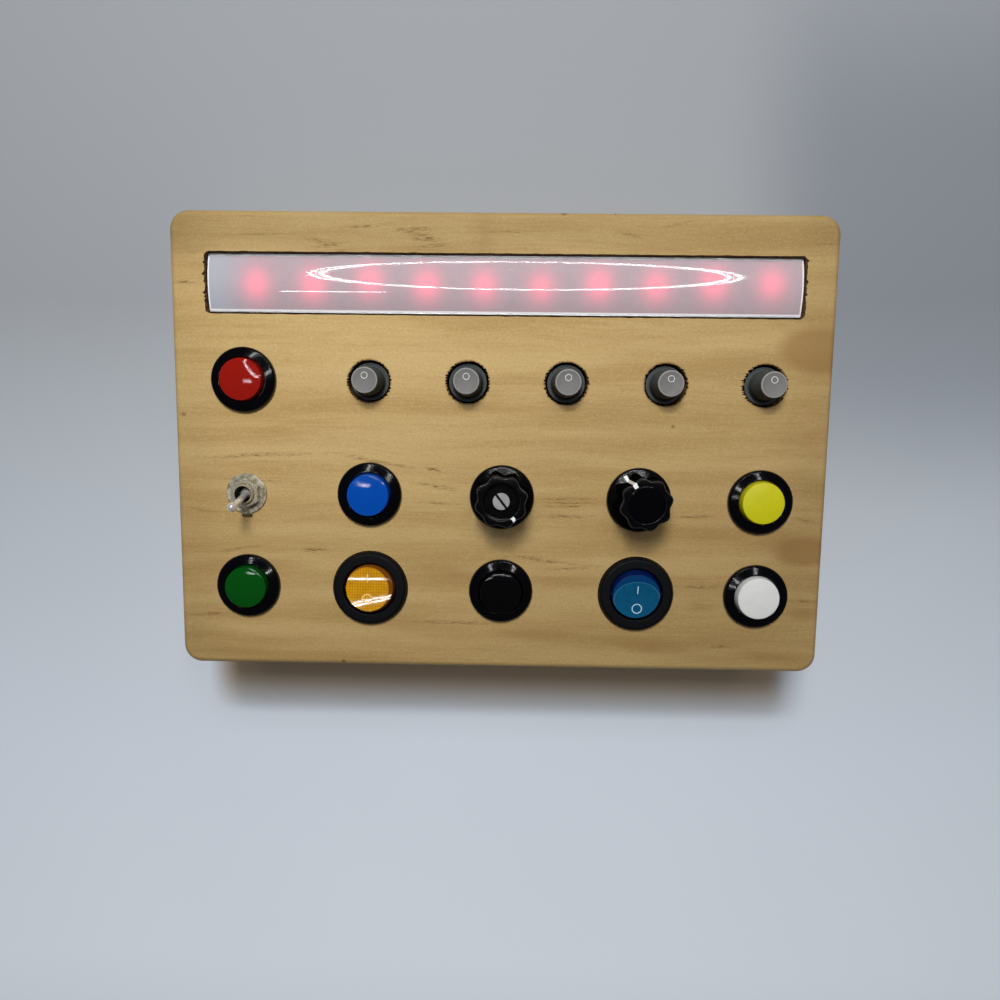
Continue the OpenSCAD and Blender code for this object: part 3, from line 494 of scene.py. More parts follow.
# a painted sheen for the dials' rounded edges
dialEdgeSheen = plastic("dial edge sheen", tone(36, 37, 42), 0.4, shine=0.1)
capBlack = plastic("dial cap black", tone(3, 3, 5), 0.12, 0.02, shine=0.35)
satinBlack = plastic("satin black", tone(5, 6, 10), 0.5, grit=0.01, shine=0.25)
greyPlastic = plastic("knob grey", tone(112, 111, 109), 0.5, grit=0.012)
# the knobs' sides: the same grey, painted darker as shade
greyShadedSide = plastic("knob grey shaded side", tone(74, 78, 78), 0.7, grit=0.02, shine=0.05)
# a painted highlight on the rounded rim of the knobs' tops
greyEdgeHighlight = plastic("knob grey highlight edge", tone(142, 142, 140), 0.45)
greyPale = plastic("knob mark", tone(202, 202, 198), 0.4)
pointerWhite = plastic("pointer white", tone(226, 226, 222), 0.5, drift=0.05)
markAmber = plastic("mark amber", tone(236, 196, 120), 0.4)
markBlue = plastic("mark blue", tone(176, 205, 222), 0.4)
nylon = plastic("white nylon", tone(214, 212, 204), 0.4)
darkCase = plastic("pot case", tone(52, 60, 66), 0.45)
redCase = plastic("toggle case", tone(120, 28, 22), 0.4)
sleeve = plastic("battery sleeve", tone(150, 60, 28), 0.3)
wireCoat = plastic("wire", tone(150, 26, 22), 0.4)
nickel = metal("nickel", tone(206, 199, 178), 0.28, grit=0.004, drift=0.06, metallic=0.75)
leverMetal = metal("lever metal", tone(238, 231, 222), 0.16, grit=0.001, drift=0.03, metallic=0.6)
brightMetal = metal("shaft metal", tone(190, 190, 190), 0.28, (1, 1, 0.1))
aluminium = metal("aluminium", tone(224, 225, 228), 0.34, (0.05, 2, 2))
steel = metal("spring steel", tone(150, 150, 152), 0.3)
zinc = metal("zinc screw", tone(176, 174, 160), 0.38)
tinned = metal("tinned metal", tone(205, 205, 200), 0.3)
screwGrey = metal("collet screw", tone(176, 176, 176), 0.5, grit=0.08, scale=2.0, drift=0.3, metallic=0.6)


def turnedNickel(spot):  # dull nickel with the fine rings of a stamped washer round one spot
    material = newMaterial("washer nickel", {"Metallic": 0.6, "Roughness": 0.35})
    round = places((1, 1, 0), (-spot.x, -spot.y, 0))
    radius = lengthOf(round)
    stain = spread(cloud(round, 0.45, 4, 0.6), 0.38, 0.6)
    colour = blendTones(stain, tone(138, 130, 104), tone(212, 205, 184))
    tab = spread(radius, 5.95, 6.5)  # the tab is darker and browner
    feed("Base Color", blendTones(tab, colour, tone(92, 76, 50)))
    bump(times(count("SINE", times(radius, 14.0)), cloud(round, 1.4, 3)), 0.02)
    return material


def opalMaterial():  # milky cover with ten lights behind it
    look = {"body": tone(173, 158, 163), "cool": tone(170, 173, 183), "milk": tone(190, 184, 194),
            "lit": tone(238, 144, 160), "glow": (1.0, 0.24, 0.32, 1), "strength": 0.32, "lights": 10,
            "pitch": 16.67, "first": 2.5, "halfWidth": 3.9, "halfHeight": 4.5, "uneven": 1.1}
    material = newMaterial("opal cover", {"Coat Weight": 1.0, "Coat Roughness": 0.035, "Roughness": 0.4,
                                          "Specular IOR Level": 0.3, "Emission Color": look["glow"]})
    midY = middle("led_chips").y
    spot = places()
    x, y = apart(spot)[:2]
    along = count("DIVIDE", minus(x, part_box("led_chips")[0].x / mm + look["first"]), look["pitch"])
    inside = add("Clamp", {"Value": count("ROUND", along), "Min": 0.0, "Max": look["lights"] - 1.0})[0]
    offset = times(minus(along, inside), look["pitch"] / look["halfWidth"])
    vary, shift = add("TexWhiteNoise", {"W": plus(inside, 7.0)}, noise_dimensions="1D")
    lift = add("SeparateColor", {0: shift})[1]
    lift = spread(lift, 0, 1, midY - look["uneven"], midY + look["uneven"], "LINEAR")
    rise = count("DIVIDE", minus(y, lift), look["halfHeight"])
    square = plus(times(offset, offset), times(rise, rise))
    haze = count("EXPONENT", times(square, -0.35))
    glow = count("EXPONENT", times(square, -1.1))
    glow = times(plus(times(glow, 0.78), times(haze, 0.2)), spread(vary, 0, 1, 0.7, 1.0, "LINEAR"))
    colour = blendTones(spread(x, -86, -70, 1.0, 0.0), look["body"], look["cool"])
    colour = blendTones(spread(cloud(spot, 0.5, 4), 0.3, 0.7, 0, 0.12), colour, look["milk"])
    feed("Base Color", blendTones(glow, colour, look["lit"]))
    feed("Emission Strength", times(glow, look["strength"]))
    bump(cloud(stretched(spot, 0.5, 1.4), 1.0, 2), 0.003)
    return material


def lensMaterial(name, light, dark, pitch, strength, face=None, beyondShade=None, rim=None):
    material = newMaterial(name, {"Coat Weight": 1.0, "Coat Roughness": 0.045, "Roughness": 0.6,
                                  "Specular IOR Level": 0.0})
    spot = places()
    lines = [count("PINGPONG", count("DIVIDE", place, pitch), 0.5) for place in apart(spot)[:2]]
    hatch = spread(count("MINIMUM", *lines), 0.02, 0.22, strength, 0.0)
    colour = blendTones(spread(cloud(spot, 0.5, 5, 0.6), 0.3, 0.7, 0, 0.35), light, dark)
    colour = blendTones(hatch, colour, dark)
    if face:  # its flat is an ellipse in the middle: x, y, half width, half height (mm)
        x, y, halfWidth, halfHeight = face
        out = lengthOf(oval(spot, (x, y, 0), (halfWidth, halfHeight, 1000)))
        # painted shade outside the flat, where one looks down into the lens's body
        colour = blendTones(spread(out, 0.97, 1.02), colour, beyondShade)
        edge = spread(count("ABSOLUTE", minus(out, 0.99)), 0.035, 0.0, 0, 0.6)
        colour = blendTones(edge, colour, rim)
    feed("Base Color", colour)
    bump(cloud(spot, 1.2, 2), 0.004)
    return material


opal = opalMaterial()
# the cover's cut ends: pale, with a faint glow that is partly light leaking from the strip and partly painted
# light, so the edge shows bright though it lies in shade
opalEnd = plastic("opal cut end", tone(226, 226, 230), 0.4)
give(opalEnd, {"Emission Color": tone(255, 244, 248), "Emission Strength": 0.05})
amberTop = lensMaterial("amber lens", tone(206, 148, 20), tone(134, 88, 6), 0.8, 0.6,
                        (-39.6, -43.4, 6.6, 6.9), tone(104, 58, 12), tone(150, 92, 18))
# the lenses' sides, painted darker as shade in the bezels' pockets
amberShadedSide = lensMaterial("amber shaded side", tone(104, 56, 10), tone(48, 20, 4), 0.8, 0.2)
blueTop = lensMaterial("blue lens", tone(14, 84, 118), tone(8, 60, 96), 0.8, 0.25,
                       (41.6, -45.2, 7.0, 5.8), tone(8, 58, 104), tone(60, 124, 156))
blueShadedSide = lensMaterial("blue shaded side", tone(4, 24, 76), tone(2, 8, 36), 0.8, 0.2)


def boardMaterial():  # green circuit board with copper tracks under its mask
    material = newMaterial("circuit board", {"Roughness": 0.35, "Coat Weight": 0.4})
    cells = add("TexVoronoi", {"Vector": places(), "Scale": 0.35}, feature="DISTANCE_TO_EDGE",
                distance="MANHATTAN")[0]
    tracks = spread(cells, 0.04, 0.07, 1, 0)
    feed("Base Color", blendTones(tracks, tone(18, 84, 48), tone(40, 122, 66)))
    bump(tracks, 0.03)
    return material


circuitGreen = boardMaterial()


def floorMaterial():
    look = {"far": tone(151, 155, 160), "near": tone(213, 221, 231), "front": tone(233, 241, 250),
            "farY": 50, "nearY": -115, "frontY": -200, "side": tone(222, 224, 228),
            "under": tone(222, 192, 158), "dust": tone(150, 152, 160)}
    material = newMaterial("pale floor", {"Roughness": 0.55, "Specular IOR Level": 0.3})
    spot = places()
    x, y = apart(spot)[:2]
    # painted light and shade: the floor is darker far behind the box and brighter towards the front
    depth = count("MULTIPLY_ADD", cloud(spot, 0.012, 2), 20.0, minus(y, 10.0))
    nearness = spread(depth, look["farY"], look["nearY"], 0, 1, "LINEAR")
    forward = spread(depth, look["nearY"], look["frontY"], 0, 1, "LINEAR")
    colour = blendTones(forward, blendTones(nearness, look["far"], look["near"]), look["front"])
    # painted shadow beside the box's upper right side
    besideShade = times(times(spread(x, 70, 115), spread(y, -30, 30)), spread(y, 190, 100))
    colour = blendTones(besideShade, colour, look["side"], "MULTIPLY")
    warmShade = times(spread(y, -101, -84), spread(y, 40, 0))  # painted shadow: darker and warmer where the box shades the floor, standing in for light bounced off the wood
    warmShade = times(warmShade, spread(count("ABSOLUTE", x), 108, 96))
    colour = blendTones(warmShade, colour, look["under"], "MULTIPLY")
    dust = spread(cloud(spot, 0.9, 4, 0.7), 0.68, 0.8, 0, 0.25)
    feed("Base Color", blendTones(dust, colour, look["dust"]))
    bump(cloud(spot, 0.4, 4), 0.02)
    return material


print("stage")

eye = {"place": (3.23, 7.77, 256.76), "forward": (-0.0145, -0.1088, -0.9940),
       "up": (-0.0142, 0.9940, -0.1086), "lens": 26.0, "sensor": 36, "nearest": 0.01, "farthest": 50}


def buildCamera():
    data = bpy.data.cameras.new("camera")
    data.lens = eye["lens"]
    data.sensor_width = eye["sensor"]
    data.clip_start = eye["nearest"]
    data.clip_end = eye["farthest"]
    camera = bpy.data.objects.new("camera", data)
    bpy.context.scene.collection.objects.link(camera)
    forward = Vector(eye["forward"]).normalized()
    right = forward.cross(Vector(eye["up"])).normalized()
    up = right.cross(forward)
    camera.rotation_euler = Matrix((right, up, -forward)).transposed().to_euler()
    camera.location = Vector(eye["place"]) * mm
    bpy.context.scene.camera = camera


def areaLamp(name, place, facing, along, length, width, power):  # metres and watts
    data = bpy.data.lights.new(name, "AREA")
    data.shape = "RECTANGLE"
    data.size = length
    data.size_y = width
    data.energy = power
    lamp = bpy.data.objects.new(name, data)
    bpy.context.scene.collection.objects.link(lamp)
    back = -facing.normalized()
    across = (along - back * along.dot(back)).normalized()
    lamp.rotation_euler = Matrix((across, back.cross(across), back)).transposed().to_euler()
    lamp.location = place
    return lamp


ringLamp = {"centre": (0.022, 0.454, 1.021), "radii": (0.345, 0.364), "count": 96, "length": 0.018,
            "width": 0.004, "power": 4.6}
stripLamp = {"place": (-0.28, 0.03, 1.0), "length": 0.16, "width": 0.01, "power": 0.2}
keyLamps = [  # the upper one is narrow, so the shadow ends more sharply than it begins
    {"place": (-0.04, 0.302, 0.633), "length": 0.16, "width": 0.2, "power": 2.3},
    {"place": (-0.04, 0.359, 0.593), "length": 0.16, "width": 0.05, "power": 1.3},
]


def buildLights():
    target = Vector(middle("led_cover")) * mm
    centre = Vector(ringLamp["centre"])
    facing = (target - centre).normalized()
    side = Vector((1, 0, 0))
    rise = side.cross(facing).normalized()
    each = ringLamp["power"] / ringLamp["count"] / len(ringLamp["radii"])
    for row, radius in enumerate(ringLamp["radii"], 1):
        for i in range(ringLamp["count"]):
            angle = tau * (i + row / 2) / ringLamp["count"]
            outward = side * cos(angle) + rise * sin(angle)
            tangent = rise * cos(angle) - side * sin(angle)
            areaLamp(f"ring_{row}_{i + 1}", centre + outward * radius, facing, tangent,
                     ringLamp["length"], ringLamp["width"], each)
    place = Vector(stripLamp["place"])
    areaLamp("strip", place, -place, side, stripLamp["length"], stripLamp["width"], stripLamp["power"])
    for i, look in enumerate(keyLamps, 1):
        place = Vector(look["place"])
        key = areaLamp(f"key_{i}", place, -place, side, look["length"], look["width"], look["power"])
        key.visible_glossy = False


def buildWorld():  # pale towards the horizon, dim overhead
    look = {"low": (0.11, 0.113, 0.12, 1), "lowTo": 0.1, "high": (0.022, 0.023, 0.026, 1), "highFrom": 0.42}
    world = bpy.data.worlds.new("studio")
    bpy.context.scene.world = world
    world.use_nodes = True
    tree = bench["tree"] = world.node_tree
    rise = apart(add("TexCoord", {})["Generated"])[2]
    rise = spread(rise, look["lowTo"], look["highFrom"], kind="LINEAR")
    tree.links.new(blendTones(rise, look["low"], look["high"]), tree.nodes["Background"].inputs[0])


def buildFloor():
    size, drop = 8, 0.02 * mm
    floor = placed(started(bpy.ops.mesh.primitive_plane_add, "floor", size=size), (0, 0, -drop))
    coated(floor, floorMaterial())


buildCamera()
buildLights()
buildWorld()
buildFloor()
bpy.context.scene.view_settings.view_transform = "Standard"

print("case")

buttons = {name: middle(name + "_button_cap") for name in capTones}
dials = {side: middle(side + "_dial_shaft") for side in ("left", "right")}
rockers = {name: middle(name + "_rocker_housing") for name in ("amber", "blue")}
toggleSpot = middle("toggle_nut")
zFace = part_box("front_panel")[1].z / mm
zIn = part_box("front_panel")[0].z / mm

caseWork = {"corner": 5.5, "edge": 1.8, "barrelHole": 8.15, "rockerHole": 10.15, "bushHole": 3.85,
            "neckHole": 3.15, "knobHole": 6.15, "slotGap": 0.34, "slotShift": -0.29, "slotSpare": 0.1,
            "slotCorner": 1.4, "ease": 0.3, "torn": 0.85, "roughTorn": 1.3, "cleanShare": 0.12,
            "tornDeep": 0.6, "roundSteps": 150, "slotCuts": 330}


def rimTeeth(shape, middleX, middleY):  # the upright edges of a cutter, each with its place from the middle
    teeth = {}
    for vert in shape.verts:
        key = (round(vert.co.x / mm - middleX, 3), round(vert.co.y / mm - middleY, 3))
        teeth.setdefault(key, []).append(vert)
    return [(x, y, teeth[x, y]) for x, y in sorted(teeth)]


def shareAt(vert):  # the rim is torn at the face and clean below it
    return (caseWork["cleanShare"] if vert.co.z < (zFace - caseWork["tornDeep"]) * mm else 1.0) * mm


def chippedRound(piece, spot, torn, tornLeft, seed):  # fibres tear along X, where the saw leaves the wood
    dice = random.Random(seed)
    phases = [dice.random() * tau for wave in range(3)]
    shape = bmesh.from_edit_mesh(piece.data)
    for x, y, uprights in rimTeeth(shape, spot.x, spot.y):
        size = hypot(x, y)
        angle = atan2(y, x)
        swell = 0.04 * sum(sin((wave + 2) * angle + phase) for wave, phase in enumerate(phases))
        tooth = dice.random() ** 2 * (tornLeft if x < 0 else torn) * (0.4 + 0.6 * abs(x) / size)
        for vert in uprights:
            vert.co.x += (swell * x / size + copysign(tooth, x)) * shareAt(vert)
            vert.co.y += (swell + tooth * 0.4) * y / size * shareAt(vert)
    bmesh.update_edit_mesh(piece.data)


def chippedSlot(piece, mid, halfLength, seed):
    dice = random.Random(seed)
    shape = bmesh.from_edit_mesh(piece.data)
    for x, y, uprights in rimTeeth(shape, mid.x, mid.y):
        fine = dice.random() * 0.1 + 0.05 * sin(x * 0.9) + 0.03 * sin(x * 2.3)
        tooth = dice.random() ** 4 * caseWork["torn"]
        for vert in uprights:
            if abs(x) > halfLength - 0.7:
                vert.co.x += copysign(fine + tooth, x) * shareAt(vert)
            else:
                vert.co.y += copysign(fine, y) * shareAt(vert)
    bmesh.update_edit_mesh(piece.data)


def towerUp(heights):  # raises the outline through these heights in mm and closes it
    chooseAll()
    bpy.ops.mesh.edge_face_add()
    for low, high in zip(heights, heights[1:]):
        pulled(0, 0, high - low)
    facedOut()


cutHeights = (zIn - 1, zFace - 1.1, zFace - 0.2, zFace + 1)


def raggedRound(spot, radius, tornLeft, seed):
    piece = started(bpy.ops.mesh.primitive_circle_add, "cutter", vertices=caseWork["roundSteps"],
                    radius=radius * mm)
    placed(piece, at(spot, cutHeights[0]))
    openMesh(piece)
    towerUp(cutHeights)
    chippedRound(piece, spot, caseWork["torn"], tornLeft, seed)
    closeMesh()
    return coated(piece, sawn)


def raggedSlot(seed):
    low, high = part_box("led_channel")
    length = (high.x - low.x) / mm + 2 * (caseWork["slotGap"] + caseWork["slotSpare"])
    width = (high.y - low.y) / mm + 2 * caseWork["slotGap"]
    mid = middle("led_channel") + Vector((0, caseWork["slotShift"], 0))
    piece = started(bpy.ops.mesh.primitive_plane_add, "cutter", size=1)
    piece.scale = (length * mm, width * mm, 1)
    placed(piece, at(mid, cutHeights[0]))
    openMesh(piece)
    chooseAll()
    bpy.ops.mesh.bevel(offset=caseWork["slotCorner"] * mm, segments=4, affect="VERTICES")
    bpy.ops.mesh.delete(type="ONLY_FACE")
    chooseAll()
    bpy.ops.mesh.subdivide(number_cuts=caseWork["slotCuts"])
    bpy.ops.mesh.remove_doubles(threshold=0.3 * mm)
    towerUp(cutHeights)
    chippedSlot(piece, mid, length / 2, seed)
    closeMesh()
    return coated(piece, sawn)


def buildPanel():
    low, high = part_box("front_panel")
    piece = block("pine_front", low / mm, high / mm)
    openMesh(piece)
    choose(piece, "EDGE", lambda edge: abs(edge.verts[0].co.z - edge.verts[1].co.z) > mm)
    bpy.ops.mesh.bevel(offset=caseWork["corner"] * mm, segments=12, affect="EDGES")
    choose(piece, "FACE", lambda face: face.normal.z > 0.9)
    bpy.ops.mesh.region_to_loop()
    bpy.ops.mesh.bevel(offset=caseWork["edge"] * mm, segments=6, affect="EDGES")
    closeMesh()
    coated(piece, pine)
    cutters = [raggedSlot(11)]
    for i, spot in enumerate(knobs):
        tornLeft = caseWork["roughTorn" if spot == knobs[-1] else "torn"]
        cutters.append(raggedRound(spot, caseWork["knobHole"], tornLeft, 20 + i))
    rounds = [(spot, "barrelHole") for spot in buttons.values()]
    rounds += [(spot, "rockerHole") for spot in rockers.values()]
    rounds += [(spot, "bushHole") for spot in dials.values()] + [(toggleSpot, "neckHole")]
    for spot, size in rounds:
        hole = rod("hole", caseWork[size], cutHeights[0], cutHeights[-1], 64)
        cutters.append(coated(placed(hole, at(spot)), sawn))
    cutBy(piece, joined("cutters", cutters))
    return finished(piece, "root", None, ["front_panel"], 30)


buildPanel()
boxSides = [("pine_top_rail", "top_rail", pinePlain), ("pine_bottom_rail", "bottom_rail", pinePlain),
            ("pine_left_stile", "left_stile", pineAcross), ("pine_right_stile", "right_stile", pineAcross),
            ("pine_back", "back_cover", pinePlain)]
for name, node, wood in boxSides:
    finished(softened(name, node, caseWork["ease"]), "root", wood, [node])

print("window")


def buildCover():  # an arch with thin lips that lie on the channel's walls
    look = {"radius": 26.8, "wall": 1.2, "lip": 0.55, "under": 1.0, "steps": 30, "end": 0.4, "ease": 0.16,
            "seatGap": 0.02, "lipRise": 0.06, "edge": 0.12}
    low, high = (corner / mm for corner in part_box("led_cover"))
    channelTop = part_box("led_channel")[1].z / mm + look["seatGap"]
    radius, inner, under = look["radius"], look["radius"] - look["wall"], channelTop - look["under"]
    mid, seat = (low.y + high.y) / 2, (high.y - low.y) / 2
    half = seat + look["lip"]
    reach = degrees(asin(half / radius))
    inside = degrees(asin((seat - look["wall"]) / inner))
    axis = channelTop + look["lipRise"] - radius * cos(radians(reach))
    outline = arc(mid, axis, radius, 90 - reach, 90 + reach, look["steps"])
    outline += [(mid - half, channelTop), (mid - seat, channelTop), (mid - seat, under)]
    outline += arc(mid, axis, inner, 90 + inside, 90 - inside, look["steps"])
    outline += [(mid + seat, under), (mid + seat, channelTop), (mid + half, channelTop)]
    piece = drawn("opal_cover", [(low.x, y, z) for y, z in outline])
    bpy.ops.mesh.edge_face_add()
    for length in (look["end"], high.x - low.x - 2 * look["end"], look["end"]):
        pulled(length, 0, 0)
    facedOut()
    closeMesh()

    def atEdge(face):
        x, y, z = centre(face)
        return not low.x + look["end"] < x < high.x - look["end"] or abs(y - mid) > seat + look["edge"]

    painted(coated(piece, opal, opalEnd), (1, atEdge))
    eased(piece, look["ease"], 2, 50)
    return finished(piece, "root", None, ["led_cover"], 40)


buildCover()
finished(softened("window_channel", "led_channel", 0.15), "root", aluminium, ["led_channel"])

print("push buttons")

button = {"foot": 9.6, "lip": 7.1, "height": 2.3, "slope": 21, "shoulder": 1.0, "mouth": 6.75, "barrel": 8.0,
          "bore": 7.3, "bottom": 26.0, "floor": 27.6, "stop": 39.8, "threadTop": 41.0, "pitch": 1.0,
          "threadDepth": 0.35}
capShape = {"radius": 6.5, "taperLow": 43.8, "crown": 6.1, "top": 46.3, "fall": 0.7, "edge": 0.15,
            "collar": 7.1, "collarTop": 39.5, "collarLow": 38.3, "ceiling": 44.7, "travel": 2.6, "wall": 5.5,
            "stem": 2.2, "stemLow": 31.6, "domeSteps": 16}
capRolls = {"red": 0.02, "green": 0.02, "black": 0.013, "blue": -0.01, "yellow": 0.0, "white": 0.0}


def shoulder(foot, top, lip):  # a round shoulder that runs into a cone, up to its lip
    slope, radius = button["slope"], button["shoulder"]
    rise = tan(radians(slope))
    endR = foot - radius + radius * sin(radians(slope))
    low = top - (endR - lip) * rise - radius * cos(radians(slope))
    return arc(foot - radius, low, radius, 0, 90 - slope, 8) + [(lip, top)]


def threaded(outer, depth, pitch, low, high):  # the turns of a thread, as outline points
    points = []
    while low < high:
        points += [(outer - depth, low), (outer, low + pitch / 2)]
        low += pitch
    return points


def housingOutline():
    look = button
    outer, bottom, foot, mouth, bore = sizes(look, "barrel", "bottom", "foot", "mouth", "bore")
    top = zFace + look["height"]
    points = [(0, bottom), (outer - 0.5, bottom), (outer - 0.1, bottom + 0.4)]
    points += threaded(outer, look["threadDepth"], look["pitch"], bottom + 0.8, look["threadTop"] - 0.6)
    points += [(outer - 0.1, look["threadTop"]), (outer - 0.1, zFace), (foot - 0.08, zFace)]
    points += [(foot, zFace + 0.08)] + shoulder(foot, top, look["lip"])
    points += arc(mouth + 0.15, top - 0.16, 0.15, 70, 180, 5)
    points += [(mouth, look["stop"]), (bore, look["stop"]), (bore, look["floor"]), (0, look["floor"])]
    return points


def capOutline(roll):  # the top tilts by 1.4 degrees for each millimetre out, and by a cubic roll
    look = capShape
    flat = look["crown"] - look["edge"]

    def height(r):
        return look["top"] - radians(look["fall"] * r * r + roll / 4 * r ** 4)

    steps = look["domeSteps"]
    dome = [(r, height(r)) for r in (flat * (steps - i) / steps for i in range(1, steps + 1))]
    stem, wall, collar, radius = sizes(look, "stem", "wall", "collar", "radius")
    return [(0, look["stemLow"]), (stem, look["stemLow"]), (stem, look["ceiling"]), (wall, look["ceiling"]),
            (wall, look["collarLow"]), (collar, look["collarLow"]), (collar, look["collarTop"]),
            (radius, look["collarTop"]), (radius, look["taperLow"])] + \
        arc(flat, height(flat) - look["edge"], look["edge"], 8, 76, 5) + dome


housing = turned("housing", housingOutline(), 96)
for name, spot in buttons.items():
    finished(duplicated(housing, name + "_button_housing", at(spot)), "root", bezelBlack,
             ["button_housings"])
    cap = placed(turned(name + "_button_top", capOutline(capRolls[name]), 96), at(spot))
    finished(cap, name + "_button", caps[name], [name + "_button_cap"])
bpy.data.objects.remove(housing)


def buildSprings():  # as short as a pressed button leaves them, so that no cap runs through its spring
    piece = copied("return_springs", "button_springs")
    foot, top = (corner.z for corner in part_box("button_springs"))
    share = ((capShape["ceiling"] - capShape["travel"]) * mm - foot) / (top - foot)
    for vert in piece.data.vertices:
        vert.co.z = foot + (vert.co.z - foot) * share
    finished(piece, "root", steel, ["button_springs"])


buildSprings()

print("grey knobs")

knobShape = {"hub": 4.4, "hubLow": 38.0, "flange": 5.6, "flangeLow": 39.0, "flangeTop": 40.4,
             "flangeEdge": 0.25, "foot": 4.4, "top": 3.8, "round": 0.42, "crown": 49.4, "bore": 3.05,
             "boreTop": 46.2, "dish": 0.06, "mark": 0.88, "markWire": 0.14, "markOut": 1.3, "markSink": 0.08,
             "paleTop": 0.3, "rimLow": 0.16, "rimFrom": 3.36, "rimTo": 3.68}


def knobOutline():
    look = knobShape
    crown, flange, flangeTop, edge = sizes(look, "crown", "flange", "flangeTop", "flangeEdge")
    points = [(0, look["boreTop"]), (look["bore"], look["boreTop"]), (look["bore"], look["hubLow"]),
              (look["hub"], look["hubLow"]), (look["hub"], look["flangeLow"])]
    points += arc(flange - 0.15, look["flangeLow"] + 0.15, 0.15, -90, 0, 2)
    points += arc(flange - edge, flangeTop - edge, edge, 0, 90, 3)
    points += [(5.1, flangeTop), (5.0, flangeTop - 0.2), (4.75, flangeTop - 0.2), (4.6, flangeTop + 0.05),
               (look["foot"], flangeTop + 0.3)]
    points += arc(look["top"] - look["round"], crown - look["round"], look["round"], 4, 90, 6)
    points += [(look["top"] - 0.55, crown - look["dish"]), (0, crown - look["dish"])]
    return points


def buildKnob():
    look = knobShape
    # the sides take a darker grey as painted shade; the top keeps the knob's grey, and the top's rim a
    # painted highlight
    piece = coated(turned("knob", knobOutline(), 72), greyShadedSide, greyPlastic, greyEdgeHighlight)

    def onTop(face):
        return centre(face).z > look["crown"] - look["paleTop"]

    def onRim(face):
        spot = centre(face)
        return spot.z > look["crown"] - look["rimLow"] and look["rimFrom"] < spot.xy.length < look["rimTo"]

    painted(piece, (1, onTop), (2, onRim))
    ringMark = placed(hoop("ring_mark", look["mark"], look["markWire"], 36, 10),
                      (0, look["markOut"] * mm, (look["crown"] - look["markSink"]) * mm))
    return joined("knob", [piece, coated(ringMark, greyPale)])


knob = buildKnob()
for i, spot in enumerate(knobs, 1):
    top = duplicated(knob, f"knob_{i}_cap", at(spot))
    finished(top, f"grey_knob_{i}", None, [f"grey_knob_{i}"], 40)
bpy.data.objects.remove(knob)

print("dials")

dialShape = {
    "steps": 192, "lobes": 8, "skirt": 9.6, "skirtLow": 42.6, "skirtTop": 44.24, "pocket": 6.1,
    "pocketTop": 44.3, "bush": 4.0, "bushTop": 45.7, "bore": 3.05, "boreTop": 51.7, "collet": 1.15,
    "recess": 5.35, "floor": 53.2, "step": (4.5, 5.0, 0.12), "top": 55.55, "rim": 7.2, "rimRound": 0.45,
    "foot": 7.45, "waveTop": 0.42, "waveFoot": 0.8, "shift": 3.5, "sheenTop": 0.16, "pointerLift": 0.04,
    "pointerOut": 8.4, "pointerHalf": 0.5, "pointerHalfTop": {"left": 0.5, "right": 0.62},
}


def dialOutline():
    look = dialShape
    foot, rim, round, top, skirtTop = sizes(look, "foot", "rim", "rimRound", "top", "skirtTop")
    collet, bore, bush, pocket = sizes(look, "collet", "bore", "bush", "pocket")
    recess, floor = sizes(look, "recess", "floor")
    stepIn, stepOut, rise = look["step"]
    skirt = shoulder(look["skirt"], skirtTop, foot)
    inside = [(collet, floor), (collet, look["boreTop"]), (bore, look["boreTop"]), (bore, look["bushTop"]),
              (bush, look["bushTop"]), (bush, look["pocketTop"]), (pocket, look["pocketTop"]),
              (pocket, look["skirtLow"]), (look["skirt"] - 0.1, look["skirtLow"])]
    bend = look["pointerOut"] + 0.05
    wall = [(foot + (rim - foot) * share, skirtTop + (top - round - skirtTop) * share)
            for share in (0.06, 0.2, 0.4, 0.6, 0.8)]
    return inside + skirt[:-1] + [(bend, skirtHeight(bend)), skirt[-1]] + wall + \
        arc(rim - round, top - round, round, 0, 90, 6) + [(recess + 0.35, top)] + \
        arc(recess + 0.15, top - 0.15, 0.15, 90, 180, 3) + \
        [(recess, floor), (stepOut, floor), (stepOut - 0.1, floor + rise), (stepIn + 0.1, floor + rise),
         (stepIn, floor), (collet, floor)]


def skirtHeight(radius):  # on the dial's conical skirt
    return dialShape["skirtTop"] - (radius - dialShape["foot"]) * tan(radians(button["slope"]))


def fluted(piece):  # eight waves round the wall, whose foot follows the skirt's cone
    look = dialShape
    for vert in piece.data.vertices:
        x, y, z = vert.co / mm
        radius = hypot(x, y)
        if radius < look["pocket"] + 0.4 or z < look["skirtTop"] - 0.1:
            continue
        share = (z - look["skirtTop"]) / (look["top"] - look["skirtTop"])
        depth = look["waveFoot"] + (look["waveTop"] - look["waveFoot"]) * share
        angle = atan2(y, x) - radians(look["shift"])
        newRadius = radius - depth * cos(look["lobes"] * angle)
        vert.co.x *= newRadius / radius
        vert.co.y *= newRadius / radius
        if z < look["skirtTop"] + 0.05:
            vert.co.z = skirtHeight(newRadius) * mm


